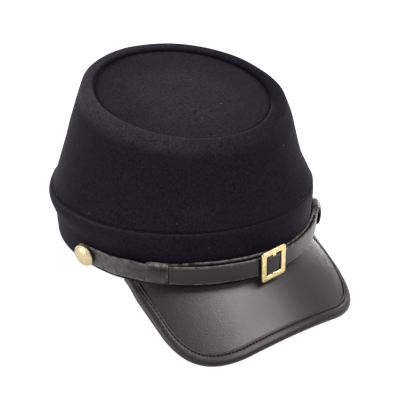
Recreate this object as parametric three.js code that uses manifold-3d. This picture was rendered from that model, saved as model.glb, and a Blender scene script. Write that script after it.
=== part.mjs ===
// A kepi: a soft wool crown with a recessed round top, a wool band, a stiff leather peak with a bound
// edge, and a leather chin strap with a slide buckle, two keepers and two side buttons.
// Millimetres, +Z up, the front of the cap towards -Y, the cap resting on its peak and the back of its band.
import * as THREE from "three";
import { mergeVertices } from "three/addons/utils/BufferGeometryUtils.js";
import Module from "manifold-3d";

const wasm = await Module();
wasm.setup();

// Driving dimensions of the head opening and the wool
const BAND_HALF_WIDTH = 91;
const BAND_HALF_LENGTH = 98;
const BAND_HEIGHT = 37.6;
const SEAM_RISE_AT_FRONT = 4.1;
const WOOL = 2.2;
const GAP = 0.3;
const ROUND_STEPS = 64;

// Driving dimensions of the round top and its rolled rim
const TOP_RADIUS = 63;
const TOP_CENTRE = new THREE.Vector3(0, -6.5, 105.2);
const TOP_TILT = THREE.MathUtils.degToRad(12);
const TOP_THICKNESS = 2;
const RIM_ROLL = 5.05;
const RIM_ABOVE_TOP = 4.2;
const RIM_BACK_LOW = 0.6;
const RIM_GAP = 0.4;

// The soft cap leans out on the wearer's left, most of all at this turn round it, and less within this width.
const SIDE_TURN = THREE.MathUtils.degToRad(-32);
const SIDE_WIDTH = THREE.MathUtils.degToRad(80);
const RIM_SIDE = 2.6;

// Driving dimensions of the leather peak
const PEAK_END = THREE.MathUtils.degToRad(62);
const PEAK_CORNER_X = 76.4;
const PEAK_FRONT_Y = -133.8;
const PEAK_FRONT_SAG = 11.8;
const PEAK_CORNER_REACH = 35;
const PEAK_SLOPE = THREE.MathUtils.degToRad(30);
const PEAK_ARCH = 21.2;
const PEAK_LEATHER = 2;
const PEAK_ROOT_DROP = 1.4;
const PEAK_TUCK = 2;
const PEAK_SIDEWAYS = 1.2;
const BINDING_WIDTH = 7.5;
const BINDING_LEATHER = 1;
const PEAK_STEPS = 48;

// Driving dimensions of the chin strap and its metal
const STRAP_WIDTH = 14.4;
const STRAP_LEATHER = 1.5;
const EDGE_SOFT = 0.5;
const STRAP_LAYER_GAP = 1.2;
const KEEPER_LEATHER = 1;
const KEEPER_LENGTH = 14.5;
const KEEPER_ANGLE = { right: -46, left: 51 };
const BUTTON_ANGLE = 80.5;
const BUTTON_RADIUS = 8.2;
const BUTTON_STAND = 1.1;
const BUTTON_TURN = THREE.MathUtils.degToRad(8);
const BUCKLE_ANGLE = 1.4;
const BUCKLE_TURN = THREE.MathUtils.degToRad(5.5);
const BUCKLE_RISE = 0.5;
const BUCKLE_WIDTH = 21.2;
const BUCKLE_HEIGHT = 24.6;
const BUCKLE_SIDE_BAR = 4;
const BUCKLE_DEPTH = 1.8;
const CENTRE_BAR = { width: 2.4, depth: 1.4 };
const STRAP_BULGE = 1.6;

// How far the soft edges are pressed flat where the cap rests
const REST_PRESS = 0.7;

const MATERIALS = {
  wool: new THREE.MeshStandardMaterial({ color: 0x14151f, roughness: 0.95, metalness: 0 }),
  leather: new THREE.MeshStandardMaterial({ color: 0x1b1b1c, roughness: 0.42, metalness: 0 }),
  brass: new THREE.MeshStandardMaterial({ color: 0xd9bd7d, roughness: 0.35, metalness: 1 }),
};

const { cos, sin, PI } = Math;
const mix = THREE.MathUtils.lerp;
const smooth = THREE.MathUtils.smoothstep;
const fromFront = (degrees) => THREE.MathUtils.degToRad(degrees - 90);

// A closed surface through rows of section points. A ring joins its last row to its first, and an open
// run gets end caps from the section's flat outline.
function loft(rows, { ring = false, outline = null } = {}) {
  const count = rows[0].length;
  const positions = rows.flat().flatMap((point) => point.toArray());
  const index = [];
  const spans = ring ? rows.length : rows.length - 1;
  for (let i = 0; i < spans; i++) {
    const here = i * count;
    const next = ((i + 1) % rows.length) * count;
    for (let j = 0; j < count; j++) {
      const k = (j + 1) % count;
      index.push(here + j, next + j, next + k, here + j, next + k, here + k);
    }
  }
  if (!ring) {
    const last = (rows.length - 1) * count;
    const clockwise = THREE.ShapeUtils.isClockWise(outline);
    for (const triangle of THREE.ShapeUtils.triangulateShape(outline, [])) {
      const [a, b, c] = clockwise ? triangle.reverse() : triangle;
      index.push(a, b, c);
      index.push(last + a, last + c, last + b);
    }
  }
  const geometry = new THREE.BufferGeometry();
  geometry.setAttribute("position", new THREE.Float32BufferAttribute(positions, 3));
  geometry.setIndex(index);
  return facingOut(geometry);
}

// The signed volume of a closed mesh tells whether its faces point out.
function facingOut(geometry) {
  const points = geometry.getAttribute("position");
  const index = geometry.getIndex().array;
  const corner = [new THREE.Vector3(), new THREE.Vector3(), new THREE.Vector3()];
  let volume = 0;
  for (let i = 0; i < index.length; i += 3) {
    corner.forEach((v, j) => v.fromBufferAttribute(points, index[i + j]));
    volume += corner[0].dot(corner[1].clone().cross(corner[2]));
  }
  if (volume < 0) {
    for (let i = 0; i < index.length; i += 3) {
      [index[i + 1], index[i + 2]] = [index[i + 2], index[i + 1]];
    }
  }
  return geometry;
}

// Joining and cutting of closed meshes
const WELD = 1e-4;

function solid(geometry) {
  const bare = geometry.clone();
  bare.deleteAttribute("normal");
  bare.deleteAttribute("uv");
  const merged = mergeVertices(bare, WELD);
  return new wasm.Manifold(
    new wasm.Mesh({
      numProp: 3,
      vertProperties: new Float32Array(merged.getAttribute("position").array),
      triVerts: new Uint32Array(merged.getIndex().array),
    }),
  );
}

function meshOf(manifold) {
  const made = manifold.getMesh();
  const geometry = new THREE.BufferGeometry();
  geometry.setAttribute("position", new THREE.BufferAttribute(made.vertProperties, 3));
  geometry.setIndex(new THREE.BufferAttribute(made.triVerts, 1));
  return geometry;
}

const cut = (body, ...tools) => meshOf(tools.reduce((left, tool) => left.subtract(solid(tool)), solid(body)));
const join = (body, ...more) => meshOf(more.reduce((whole, piece) => whole.add(solid(piece)), solid(body)));

// The band: rows of its wall from the bottom edge up. flare is how far the wall stands out from the head
// oval, fold is how deep a soft fold sinks in at the back, and side is the lean on the wearer's left.
const BAND_ROWS = [
  { share: 0, flare: 0, fold: 0, side: 3.3 },
  { share: 0.18, flare: 0.5, fold: 0, side: 3.3 },
  { share: 0.42, flare: 1.3, fold: 0.3, side: 3.1 },
  { share: 0.58, flare: 2.2, fold: 0.7, side: 2.6 },
  { share: 0.7, flare: 2.8, fold: -1.2, side: 2.1 },
  { share: 0.86, flare: 3.6, fold: -2.2, side: 1.5 },
  { share: 1, flare: 3.8, fold: -0.2, side: 1.1 },
];
const INNER_BAND_ROWS = [6, 5, 4, 2, 0].map((row) => BAND_ROWS[row]);

const oval = (turn, out, height) =>
  new THREE.Vector3((BAND_HALF_WIDTH + out) * cos(turn), (BAND_HALF_LENGTH + out) * sin(turn), height);
const seamHeight = (turn) => BAND_HEIGHT - SEAM_RISE_AT_FRONT * sin(turn);
const backShare = (turn) => 0.5 + 0.5 * sin(turn);

// How fully a turn has the lean on the wearer's left
function sideShare(turn) {
  const away = Math.abs(THREE.MathUtils.euclideanModulo(turn - SIDE_TURN + PI, 2 * PI) - PI);
  return 1 - smooth(away, 0, SIDE_WIDTH);
}

const turns = Array.from({ length: ROUND_STEPS }, (_, i) => (2 * PI * i) / ROUND_STEPS);

function bandWall(turn, row, inset) {
  const top = seamHeight(turn) - GAP / 2;
  const out = row.flare - row.fold * backShare(turn) + row.side * sideShare(turn);
  return oval(turn, out - inset, row.share * top);
}

// How far the front of the band's outer wall stands out from the head oval at a height above its bottom edge
function bandOut(turn, height) {
  const share = height / BAND_HEIGHT;
  const above = BAND_ROWS.findIndex((row) => row.share >= share);
  const low = BAND_ROWS[Math.max(above - 1, 0)];
  const high = BAND_ROWS[above];
  const between = (share - low.share) / (high.share - low.share || 1);
  return mix(low.flare, high.flare, between) + mix(low.side, high.side, between) * sideShare(turn);
}

function band() {
  const rows = turns.map((turn) => [
    ...BAND_ROWS.map((row) => bandWall(turn, row, 0)),
    ...INNER_BAND_ROWS.map((row) => bandWall(turn, row, WOOL)),
  ]);
  return loft(rows, { ring: true });
}

// The crown: rows of its side from the seam up to the rolled rim. hollow is how far the wall sinks in at
// the front, full is how far it stands out at the back, and side is the lean on the wearer's left.
const CROWN_ROWS = [
  { share: 0, hollow: 0, full: -1, side: 1.1 },
  { share: 0.06, hollow: -0.5, full: -2.2, side: 1 },
  { share: 0.16, hollow: 0.1, full: -2.5, side: 1.1 },
  { share: 0.3, hollow: 2, full: -1.8, side: 1.5 },
  { share: 0.48, hollow: 2.2, full: -0.9, side: 2 },
  { share: 0.68, hollow: 0.8, full: 0, side: 2.1 },
  { share: 0.86, hollow: -0.2, full: 0.2, side: 2.5 },
];
const RIM_START = THREE.MathUtils.degToRad(22);
const RIM_STEPS = 6;
const RIM_TAIL = 1.7;
const CROWN_FOOT_FLARE = 4;

// A point on a circle round the tilted axis of the top, at a height above the top's own plane
function topRing(turn, radius, height) {
  const across = new THREE.Vector3(cos(turn), sin(turn) * cos(TOP_TILT), sin(turn) * sin(TOP_TILT));
  const up = new THREE.Vector3(0, -sin(TOP_TILT), cos(TOP_TILT));
  return TOP_CENTRE.clone().addScaledVector(across, radius).addScaledVector(up, height);
}

function rimPoint(turn, angle, roll) {
  const height = RIM_ABOVE_TOP - RIM_ROLL + roll * sin(angle) - RIM_BACK_LOW * backShare(turn);
  const lean = RIM_SIDE * sideShare(turn) * Math.max(cos(angle), 0);
  return topRing(turn, TOP_RADIUS + RIM_ROLL + roll * cos(angle) + lean, height);
}

function crownWall(turn, row, inset) {
  const foot = oval(turn, CROWN_FOOT_FLARE - inset, seamHeight(turn) + GAP / 2);
  const rim = rimPoint(turn, RIM_START, RIM_ROLL - inset);
  const lean = (row.side - RIM_SIDE * cos(RIM_START) * row.share) * sideShare(turn);
  const out = row.full * backShare(turn) - row.hollow * (1 - backShare(turn)) + lean;
  const point = foot.lerp(rim, row.share);
  return point.add(new THREE.Vector3(cos(turn), sin(turn), 0).multiplyScalar(out));
}

function crownSide() {
  const arc = Array.from({ length: RIM_STEPS + 1 }, (_, i) => mix(RIM_START, PI, i / RIM_STEPS));
  const everyOther = (_, i) => i % 2 === 0;
  const innerRows = CROWN_ROWS.filter(everyOther).reverse();
  const innerArc = arc.filter(everyOther).reverse();
  const tail = RIM_ABOVE_TOP - RIM_ROLL - RIM_TAIL;
  const rows = turns.map((turn) => [
    ...CROWN_ROWS.map((row) => crownWall(turn, row, 0)),
    ...arc.map((angle) => rimPoint(turn, angle, RIM_ROLL)),
    topRing(turn, TOP_RADIUS, tail),
    topRing(turn, TOP_RADIUS + WOOL, tail),
    ...innerArc.map((angle) => rimPoint(turn, angle, RIM_ROLL - WOOL)),
    ...innerRows.map((row) => crownWall(turn, row, WOOL)),
  ]);
  return loft(rows, { ring: true });
}

// The top: a thin disc, a little dished, set down inside the rolled rim
const TOP_ROWS = [
  { share: 0, dish: 0.9 },
  { share: 0.45, dish: 0.8 },
  { share: 0.8, dish: 0.35 },
  { share: 1, dish: 0 },
];

function crownTop() {
  const edge = TOP_RADIUS - RIM_GAP;
  const upper = TOP_ROWS.map((row) => new THREE.Vector2(row.share * edge, -row.dish));
  const lower = [...upper].reverse().map((point) => new THREE.Vector2(point.x, point.y - TOP_THICKNESS));
  return new THREE.LatheGeometry([...lower.reverse(), ...upper.reverse()], ROUND_STEPS);
}

// The peak's outline from the wearer's left end round the front to the right end, as a curve in plan
function peakPlan() {
  const attach = oval(PEAK_END - PI / 2, 0, 0);
  const cornerY = PEAK_FRONT_Y + PEAK_FRONT_SAG;
  const side = new THREE.Vector2(attach.x - PEAK_CORNER_X, attach.y - cornerY).normalize();
  const sideEnd = new THREE.Vector2(PEAK_CORNER_X, cornerY).addScaledVector(side, PEAK_CORNER_REACH);
  const frontX = PEAK_CORNER_X - PEAK_CORNER_REACH;
  const frontY = PEAK_FRONT_Y + PEAK_FRONT_SAG * (frontX / PEAK_CORNER_X) ** 2;
  const frontLow = 2 * PEAK_FRONT_Y - frontY;
  const path = new THREE.Path();
  path.moveTo(attach.x, attach.y);
  path.lineTo(sideEnd.x, sideEnd.y);
  path.quadraticCurveTo(PEAK_CORNER_X, cornerY, frontX, frontY);
  path.quadraticCurveTo(0, frontLow, -frontX, frontY);
  path.quadraticCurveTo(-PEAK_CORNER_X, cornerY, -sideEnd.x, sideEnd.y);
  path.lineTo(-attach.x, attach.y);
  return { path, attach };
}

const PEAK_PLAN = peakPlan();
const PEAK_TAIL = 0.012;

// A point of the peak's outer edge, with the drop of its slope and the arch of its front
function peakEdge(share) {
  const flat = PEAK_PLAN.path.getPointAt(mix(PEAK_TAIL, 1 - PEAK_TAIL, share));
  const { y } = PEAK_PLAN.attach;
  const reach = THREE.MathUtils.clamp((y - flat.y) / (y - PEAK_FRONT_Y), 0, 1);
  const drop = (y - flat.y) * Math.tan(PEAK_SLOPE);
  const arch = PEAK_ARCH * (1 - (flat.x / PEAK_CORNER_X) ** 2) * reach;
  return new THREE.Vector3(flat.x + PEAK_SIDEWAYS * reach, flat.y, arch - drop - PEAK_ROOT_DROP);
}

// The peak's inner edge, tucked in under the band
function peakRoot(share) {
  const turn = mix(PEAK_END, -PEAK_END, share) - PI / 2;
  return oval(turn, -PEAK_TUCK, -PEAK_ROOT_DROP);
}

// A point in the middle of the peak's leather: down is 0 at the band and 1 at the outer edge
const peakMiddle = (share, down) => peakRoot(share).lerp(peakEdge(share), down);

const NORMAL_STEP = 0.004;

function peakNormal(share, down) {
  const before = peakMiddle(Math.max(share - NORMAL_STEP, 0), down);
  const after = peakMiddle(Math.min(share + NORMAL_STEP, 1), down);
  const fall = peakEdge(share).sub(peakRoot(share));
  return after.sub(before).cross(fall).normalize();
}

// The stations of the bound edge, by share of its length
const BINDING_END = 0.009;
const EVEN_SHARES = Array.from({ length: PEAK_STEPS - 1 }, (_, i) => (i + 1) / PEAK_STEPS);
const BOUND_SHARES = [BINDING_END, ...EVEN_SHARES, 1 - BINDING_END];

// The rows of the peak's leather, and how far down its thickness at the band is read
const PEAK_ROWS = [0, 0.2, 0.42, 0.64, 0.84, 1];
const ROOT_SAMPLE = 0.05;

function peak() {
  const half = PEAK_LEATHER / 2;
  const rows = [0, ...BOUND_SHARES, 1].map((share) => {
    const at = (down, side) => {
      const normal = peakNormal(share, Math.max(down, ROOT_SAMPLE));
      return peakMiddle(share, down).addScaledVector(normal, side * half);
    };
    return [...PEAK_ROWS.map((down) => at(down, 1)), ...[...PEAK_ROWS].reverse().map((down) => at(down, -1))];
  });
  // A cap's triangles need an outline with a corner at each point, so its sides bow a little.
  const bowed = (down, side) => new THREE.Vector2(down, side * (1 + down * (1 - down)));
  const outline = [
    ...PEAK_ROWS.map((down) => bowed(down, 1)),
    ...[...PEAK_ROWS].reverse().map((down) => bowed(down, -1)),
  ];
  return loft(rows, { outline });
}

// The binding: a strip of leather folded over the peak's edge. Its section is a U, read in from the edge
// (in) and out from the middle of the peak's leather (off).
const NOSE_START = 0.6;
const NOSE_SHOULDER = { past: 0.7, offShare: 0.72 };
const BINDING_MOST = 0.7;

function bindingSection(width) {
  const inner = PEAK_LEATHER / 2 + GAP;
  const outer = inner + BINDING_LEATHER;
  const shoulder = outer * NOSE_SHOULDER.offShare;
  return [
    { in: width, off: inner },
    { in: width, off: outer },
    { in: NOSE_START, off: outer },
    { in: -NOSE_SHOULDER.past, off: shoulder },
    { in: -GAP - BINDING_LEATHER, off: 0 },
    { in: -NOSE_SHOULDER.past, off: -shoulder },
    { in: NOSE_START, off: -outer },
    { in: width, off: -outer },
    { in: width, off: -inner },
    { in: -GAP, off: -inner },
    { in: -GAP, off: inner },
  ];
}

function peakBinding() {
  const rows = BOUND_SHARES.map((share) => {
    const edge = peakEdge(share);
    const normal = peakNormal(share, 1);
    const along = peakEdge(Math.min(share + NORMAL_STEP, 1)).sub(peakEdge(Math.max(share - NORMAL_STEP, 0)));
    const inward = along.cross(normal).normalize();
    // The leather's depth square to its edge, which the strip may not cover whole at the peak's ends
    const depth = peakRoot(share).sub(edge).dot(inward);
    const width = Math.min(BINDING_WIDTH, BINDING_MOST * depth);
    return bindingSection(width).map((point) => {
      if (point.in < 0) {
        return edge.clone().addScaledVector(inward, point.in).addScaledVector(normal, point.off);
      }
      const down = 1 - point.in / depth;
      return peakMiddle(share, down).addScaledVector(peakNormal(share, down), point.off);
    });
  });
  const outline = bindingSection(BINDING_WIDTH).map((point) => new THREE.Vector2(point.in, point.off));
  return loft(rows, { outline });
}

// The chin strap runs almost level round the front of the band. Rows give, by degrees from the front, the
// height of its middle above the band's bottom edge, how much higher its inner layer rides there, and the
// slack by which it stands off the band.
const STRAP_ROWS = [
  { degrees: -90, height: 9.4, inner: 0, slack: 0 },
  { degrees: -68, height: 10.4, inner: 0, slack: 0 },
  { degrees: -57, height: 12.5, inner: 0, slack: 0 },
  { degrees: -47, height: 11.4, inner: 0, slack: 0 },
  { degrees: -41, height: 11.3, inner: 0, slack: 0 },
  { degrees: -30, height: 11.2, inner: 1.7, slack: 0.1 },
  { degrees: -20, height: 11.3, inner: 1.7, slack: 0.2 },
  { degrees: -8, height: 10.7, inner: 1.9, slack: 0.2 },
  { degrees: 12, height: 10.4, inner: 0.3, slack: 0 },
  { degrees: 26, height: 10.6, inner: 0.2, slack: -0.5 },
  { degrees: 40, height: 11.4, inner: 0, slack: -0.7 },
  { degrees: 51, height: 12, inner: 0, slack: 0.1 },
  { degrees: 74, height: 11.2, inner: 0, slack: 0 },
  { degrees: 90, height: 11, inner: 0, slack: 0 },
];

function strapRow(degrees) {
  const found = STRAP_ROWS.findIndex((row) => row.degrees > degrees);
  const next = Math.max(found < 0 ? STRAP_ROWS.length - 1 : found, 1);
  const low = STRAP_ROWS[next - 1];
  const high = STRAP_ROWS[next];
  const share = smooth(degrees, low.degrees, high.degrees);
  const between = (column) => mix(low[column], high[column], share);
  return { height: between("height"), inner: between("inner"), slack: between("slack") };
}

// The place and directions of the strap at an angle from the front, out from the band's wall and up from
// the strap's middle
function strapFrame(degrees, out, rise = 0) {
  const turn = fromFront(degrees);
  const row = strapRow(degrees);
  const height = row.height + rise;
  const wall = oval(turn, bandOut(turn, height), height);
  const level = new THREE.Vector3(cos(turn) / BAND_HALF_WIDTH, sin(turn) / BAND_HALF_LENGTH, 0).normalize();
  const along = new THREE.Vector3(-level.y, level.x, 0);
  const half = STRAP_WIDTH / 2;
  const lean = (bandOut(turn, height + half) - bandOut(turn, height - half)) / STRAP_WIDTH;
  const up = new THREE.Vector3(0, 0, 1).addScaledVector(level, lean).normalize();
  const outward = along.clone().cross(up);
  return { at: wall.addScaledVector(outward, out + row.slack), along, up, outward };
}

// How far each layer's middle lies from the band's wall: tight under the buttons, and out in the keepers
const STRAP_OFF_BAND = 0.7;
const UNDER_BUTTON = STRAP_OFF_BAND + STRAP_LEATHER / 2;
const KEEPER_OFF_BAND = 0.5;
const INNER_LAYER = KEEPER_OFF_BAND + KEEPER_LEATHER + GAP + STRAP_LEATHER / 2;
const OUTER_LAYER = INNER_LAYER + STRAP_LEATHER + STRAP_LAYER_GAP;
const MM_PER_DEGREE = ((BAND_HALF_WIDTH + BAND_HALF_LENGTH) / 2) * (PI / 180);
const KEEPER_HALF_ANGLE = KEEPER_LENGTH / 2 / MM_PER_DEGREE;
const BUTTON_REST_ANGLE = 5;
const LIFT_START = BUTTON_ANGLE - BUTTON_REST_ANGLE;
const LEVEL_PAST_KEEPER = 4;
const PAST_KEEPER = KEEPER_HALF_ANGLE + LEVEL_PAST_KEEPER;

// Where the strap's ends lie, in degrees past the buttons and past the keepers
const PAST_BUTTON = 4.7;
const OUTER_END_PAST_KEEPER = 1.5;
const INNER_END_PAST_KEEPER = -1;

// The outer layer rises over the buckle's centre bar and dips under its side bars.
const BUCKLE_REACH = (BUCKLE_WIDTH / 2 - BUCKLE_SIDE_BAR) / MM_PER_DEGREE;
const BULGE_FLAT = 0.28;

function bulge(degrees) {
  const away = Math.abs(degrees - BUCKLE_ANGLE) / BUCKLE_REACH;
  return STRAP_BULGE * (1 - smooth(away, BULGE_FLAT, 1));
}

function outerLift(degrees) {
  const toButton = smooth(-degrees, PAST_KEEPER - KEEPER_ANGLE.right, LIFT_START);
  return mix(OUTER_LAYER, UNDER_BUTTON, toButton) + bulge(degrees);
}

function innerLift(degrees) {
  const toButton = smooth(degrees, PAST_KEEPER + KEEPER_ANGLE.left, LIFT_START);
  return mix(INNER_LAYER, UNDER_BUTTON, toButton);
}

// The angles of a strip's sections, closer together at the buckle
const SECTION_STEP = 3;
const BUCKLE_STEP = 0.6;

function sectionAngles(from, to, lift) {
  const angles = [];
  for (let degrees = from; degrees < to - BUCKLE_STEP; ) {
    angles.push(degrees);
    const near = lift(degrees) !== lift(degrees + SECTION_STEP) && Math.abs(degrees) < 2 * BUCKLE_REACH;
    degrees += near ? BUCKLE_STEP : SECTION_STEP;
  }
  return [...angles, to];
}

// A flat strip that follows the strap's frame, its edges a little rounded
function strip(from, to, lift, width, thickness, soft, rise = () => 0) {
  const halfWide = width / 2;
  const halfThick = thickness / 2;
  const section = [
    { across: -halfWide, out: -halfThick + soft },
    { across: -halfWide + soft, out: -halfThick },
    { across: halfWide - soft, out: -halfThick },
    { across: halfWide, out: -halfThick + soft },
    { across: halfWide, out: halfThick - soft },
    { across: halfWide - soft, out: halfThick },
    { across: -halfWide + soft, out: halfThick },
    { across: -halfWide, out: halfThick - soft },
  ];
  const rows = sectionAngles(from, to, lift).map((degrees) => {
    const frame = strapFrame(degrees, lift(degrees), rise(degrees));
    return section.map((point) =>
      frame.at.clone().addScaledVector(frame.up, point.across).addScaledVector(frame.outward, point.out),
    );
  });
  return loft(rows, { outline: section.map((point) => new THREE.Vector2(point.across, point.out)) });
}

// A piece that is modelled flat, x along the strap, y up and z outward, set on the strap at an angle
function onStrap(geometry, degrees, out) {
  const frame = strapFrame(degrees, out);
  const place = new THREE.Matrix4().makeBasis(frame.along, frame.up, frame.outward).setPosition(frame.at);
  return geometry.applyMatrix4(place);
}

// The buttons sag a little towards the front.
const buttonTurn = (degrees) => -Math.sign(degrees) * BUTTON_TURN;
const SHANK_RADIUS = 2;
const SHANK_HOLE = SHANK_RADIUS + GAP;
const HOLE_SIDES = 12;

function shankHole(degrees) {
  const hole = new THREE.CylinderGeometry(SHANK_HOLE, SHANK_HOLE, 4 * STRAP_LEATHER, HOLE_SIDES);
  return onStrap(hole.rotateX(PI / 2).rotateY(buttonTurn(degrees)), degrees, UNDER_BUTTON);
}

function strapOuter() {
  const whole = strip(
    -BUTTON_ANGLE - PAST_BUTTON,
    KEEPER_ANGLE.left + KEEPER_HALF_ANGLE + OUTER_END_PAST_KEEPER,
    outerLift,
    STRAP_WIDTH,
    STRAP_LEATHER,
    EDGE_SOFT,
  );
  return cut(whole, shankHole(-BUTTON_ANGLE));
}

function strapInner() {
  const whole = strip(
    KEEPER_ANGLE.right - KEEPER_HALF_ANGLE - INNER_END_PAST_KEEPER,
    BUTTON_ANGLE + PAST_BUTTON,
    innerLift,
    STRAP_WIDTH,
    STRAP_LEATHER,
    EDGE_SOFT,
    (degrees) => strapRow(degrees).inner,
  );
  return cut(whole, shankHole(BUTTON_ANGLE));
}

// A keeper: a leather loop round both layers of the strap
const KEEPER_MIDDLE = (INNER_LAYER + OUTER_LAYER) / 2;
const KEEPER_ROOM = STRAP_LEATHER * 2 + STRAP_LAYER_GAP + 2 * GAP;
const ROOM_PAST_ENDS = 1;

function keeper(degrees) {
  const middle = () => KEEPER_MIDDLE;
  const from = degrees - KEEPER_HALF_ANGLE;
  const to = degrees + KEEPER_HALF_ANGLE;
  const wide = STRAP_WIDTH + 2 * GAP;
  const room = strip(from - ROOM_PAST_ENDS, to + ROOM_PAST_ENDS, middle, wide, KEEPER_ROOM, EDGE_SOFT / 2);
  const deep = KEEPER_ROOM + 2 * KEEPER_LEATHER;
  const loop = strip(from, to, middle, wide + 2 * KEEPER_LEATHER, deep, KEEPER_LEATHER);
  return cut(loop, room);
}

// The buckle: a square frame in front of the strap and a centre bar behind it, joined at top and bottom
const BUCKLE_OPENING_HEIGHT = 16.2;
const BUCKLE_CORNER = 2.2;
const BUCKLE_OPENING_CORNER = 0.8;
const BUCKLE_CORNER_STEPS = 3;
const BUCKLE_BEVEL = 0.5;
const LUG_SHORT_OF_EDGE = 1;
const TAB = { width: 2.6, into: 1.1, over: 0.6, depth: 0.4, proud: 0.2 };

function roundedRectangle(width, height, corner, shape) {
  const x = width / 2;
  const y = height / 2;
  shape.moveTo(-x + corner, -y);
  shape.lineTo(x - corner, -y);
  shape.absarc(x - corner, -y + corner, corner, -PI / 2, 0);
  shape.lineTo(x, y - corner);
  shape.absarc(x - corner, y - corner, corner, 0, PI / 2);
  shape.lineTo(-x + corner, y);
  shape.absarc(-x + corner, y - corner, corner, PI / 2, PI);
  shape.lineTo(-x, -y + corner);
  shape.absarc(-x + corner, -y + corner, corner, PI, 1.5 * PI);
  return shape;
}

function buckle() {
  const face = roundedRectangle(BUCKLE_WIDTH, BUCKLE_HEIGHT, BUCKLE_CORNER, new THREE.Shape());
  const openingWidth = BUCKLE_WIDTH - 2 * BUCKLE_SIDE_BAR;
  const opening = new THREE.Path();
  face.holes.push(roundedRectangle(openingWidth, BUCKLE_OPENING_HEIGHT, BUCKLE_OPENING_CORNER, opening));
  const front = STRAP_LEATHER / 2 + GAP;
  const frame = new THREE.ExtrudeGeometry(face, {
    depth: BUCKLE_DEPTH - 2 * BUCKLE_BEVEL,
    bevelThickness: BUCKLE_BEVEL,
    bevelSize: BUCKLE_BEVEL,
    bevelOffset: -BUCKLE_BEVEL,
    bevelSegments: 1,
    curveSegments: BUCKLE_CORNER_STEPS,
  });
  frame.translate(0, 0, front + BUCKLE_BEVEL);
  const barFront = STRAP_BULGE - STRAP_LEATHER / 2 - GAP;
  const lugHeight = (BUCKLE_HEIGHT - BUCKLE_OPENING_HEIGHT) / 2 - LUG_SHORT_OF_EDGE;
  const barHeight = BUCKLE_OPENING_HEIGHT + lugHeight * 2;
  const bar = new THREE.BoxGeometry(CENTRE_BAR.width, barHeight, CENTRE_BAR.depth);
  bar.translate(0, 0, barFront - CENTRE_BAR.depth / 2);
  const lugDepth = front + BUCKLE_DEPTH / 2 - barFront + CENTRE_BAR.depth;
  const lugs = [1, -1].map((side) => {
    const lug = new THREE.BoxGeometry(CENTRE_BAR.width, lugHeight, lugDepth);
    const middle = barFront - CENTRE_BAR.depth + lugDepth / 2;
    return lug.translate(0, side * (BUCKLE_OPENING_HEIGHT / 2 + lugHeight / 2), middle);
  });
  // The folded ends of the bar show as small tabs in front, at the top and bottom of the opening.
  const tabs = [1, -1].map((side) => {
    const tab = new THREE.BoxGeometry(TAB.width, TAB.into + TAB.over, TAB.depth);
    const from = BUCKLE_OPENING_HEIGHT / 2 + (TAB.over - TAB.into) / 2;
    return tab.translate(0, side * from, front + BUCKLE_DEPTH + TAB.proud - TAB.depth / 2);
  });
  const whole = join(frame, bar, ...lugs, ...tabs).rotateZ(BUCKLE_TURN).translate(0, BUCKLE_RISE, 0);
  return onStrap(whole, BUCKLE_ANGLE, OUTER_LAYER);
}

// A domed brass button on a short shank that goes through the strap
const BUTTON_ROWS = [
  { radius: 0, rise: 3.7 },
  { radius: 2.8, rise: 3.5 },
  { radius: 5.2, rise: 2.9 },
  { radius: 6.7, rise: 2.1 },
  { radius: 7.3, rise: 2 },
  { radius: 7.9, rise: 1.8 },
  { radius: BUTTON_RADIUS, rise: 1.2 },
  { radius: 7.8, rise: 0.5 },
  { radius: SHANK_RADIUS, rise: 0 },
];
const BUTTON_SIDES = 24;

function button(degrees) {
  const back = STRAP_LEATHER / 2 + GAP + BUTTON_STAND;
  const shankEnd = -UNDER_BUTTON + 2 * GAP;
  const profile = [
    new THREE.Vector2(0, shankEnd),
    new THREE.Vector2(SHANK_RADIUS, shankEnd),
    ...[...BUTTON_ROWS].reverse().map((row) => new THREE.Vector2(row.radius, back + row.rise)),
  ];
  const turned = new THREE.LatheGeometry(profile, BUTTON_SIDES).rotateX(PI / 2);
  return onStrap(turned.rotateY(buttonTurn(degrees)), degrees, UNDER_BUTTON);
}

function node(name, geometry, material) {
  const mesh = new THREE.Mesh(geometry, material);
  mesh.name = name;
  return mesh;
}

// The cap in its own frame: the band's bottom edge lies in the plane of X and Y
const cap = new THREE.Group();
const top = node("crown_top", crownTop(), MATERIALS.wool);
top.position.copy(TOP_CENTRE);
top.rotation.x = PI / 2 + TOP_TILT;

// The cap tips back until the band's back edge and the peak's corners lie on one level surface.
const bandGeometry = band();
const bindingGeometry = peakBinding();

function lowest(geometry, tip) {
  const turned = geometry.clone().rotateX(-tip);
  turned.computeBoundingBox();
  return turned.boundingBox.min.z;
}

const STEEPEST_TIP = THREE.MathUtils.degToRad(30);
const HALVINGS = 40;

function restTip() {
  let low = 0;
  let high = STEEPEST_TIP;
  for (let i = 0; i < HALVINGS; i++) {
    const middle = (low + high) / 2;
    if (lowest(bindingGeometry, middle) < lowest(bandGeometry, middle)) low = middle;
    else high = middle;
  }
  return (low + high) / 2;
}

const tip = restTip();
cap.rotation.x = -tip;
cap.position.z = -lowest(bandGeometry, tip) - REST_PRESS;
cap.updateMatrixWorld(true);

// What lies below that surface is pressed flat.
const SURFACE = { side: 400, depth: 20 };

function pressed(geometry) {
  const floor = new THREE.BoxGeometry(SURFACE.side, SURFACE.side, SURFACE.depth);
  floor.translate(0, 0, -SURFACE.depth / 2);
  floor.applyMatrix4(cap.matrixWorld.clone().invert());
  return cut(geometry, floor);
}

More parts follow.
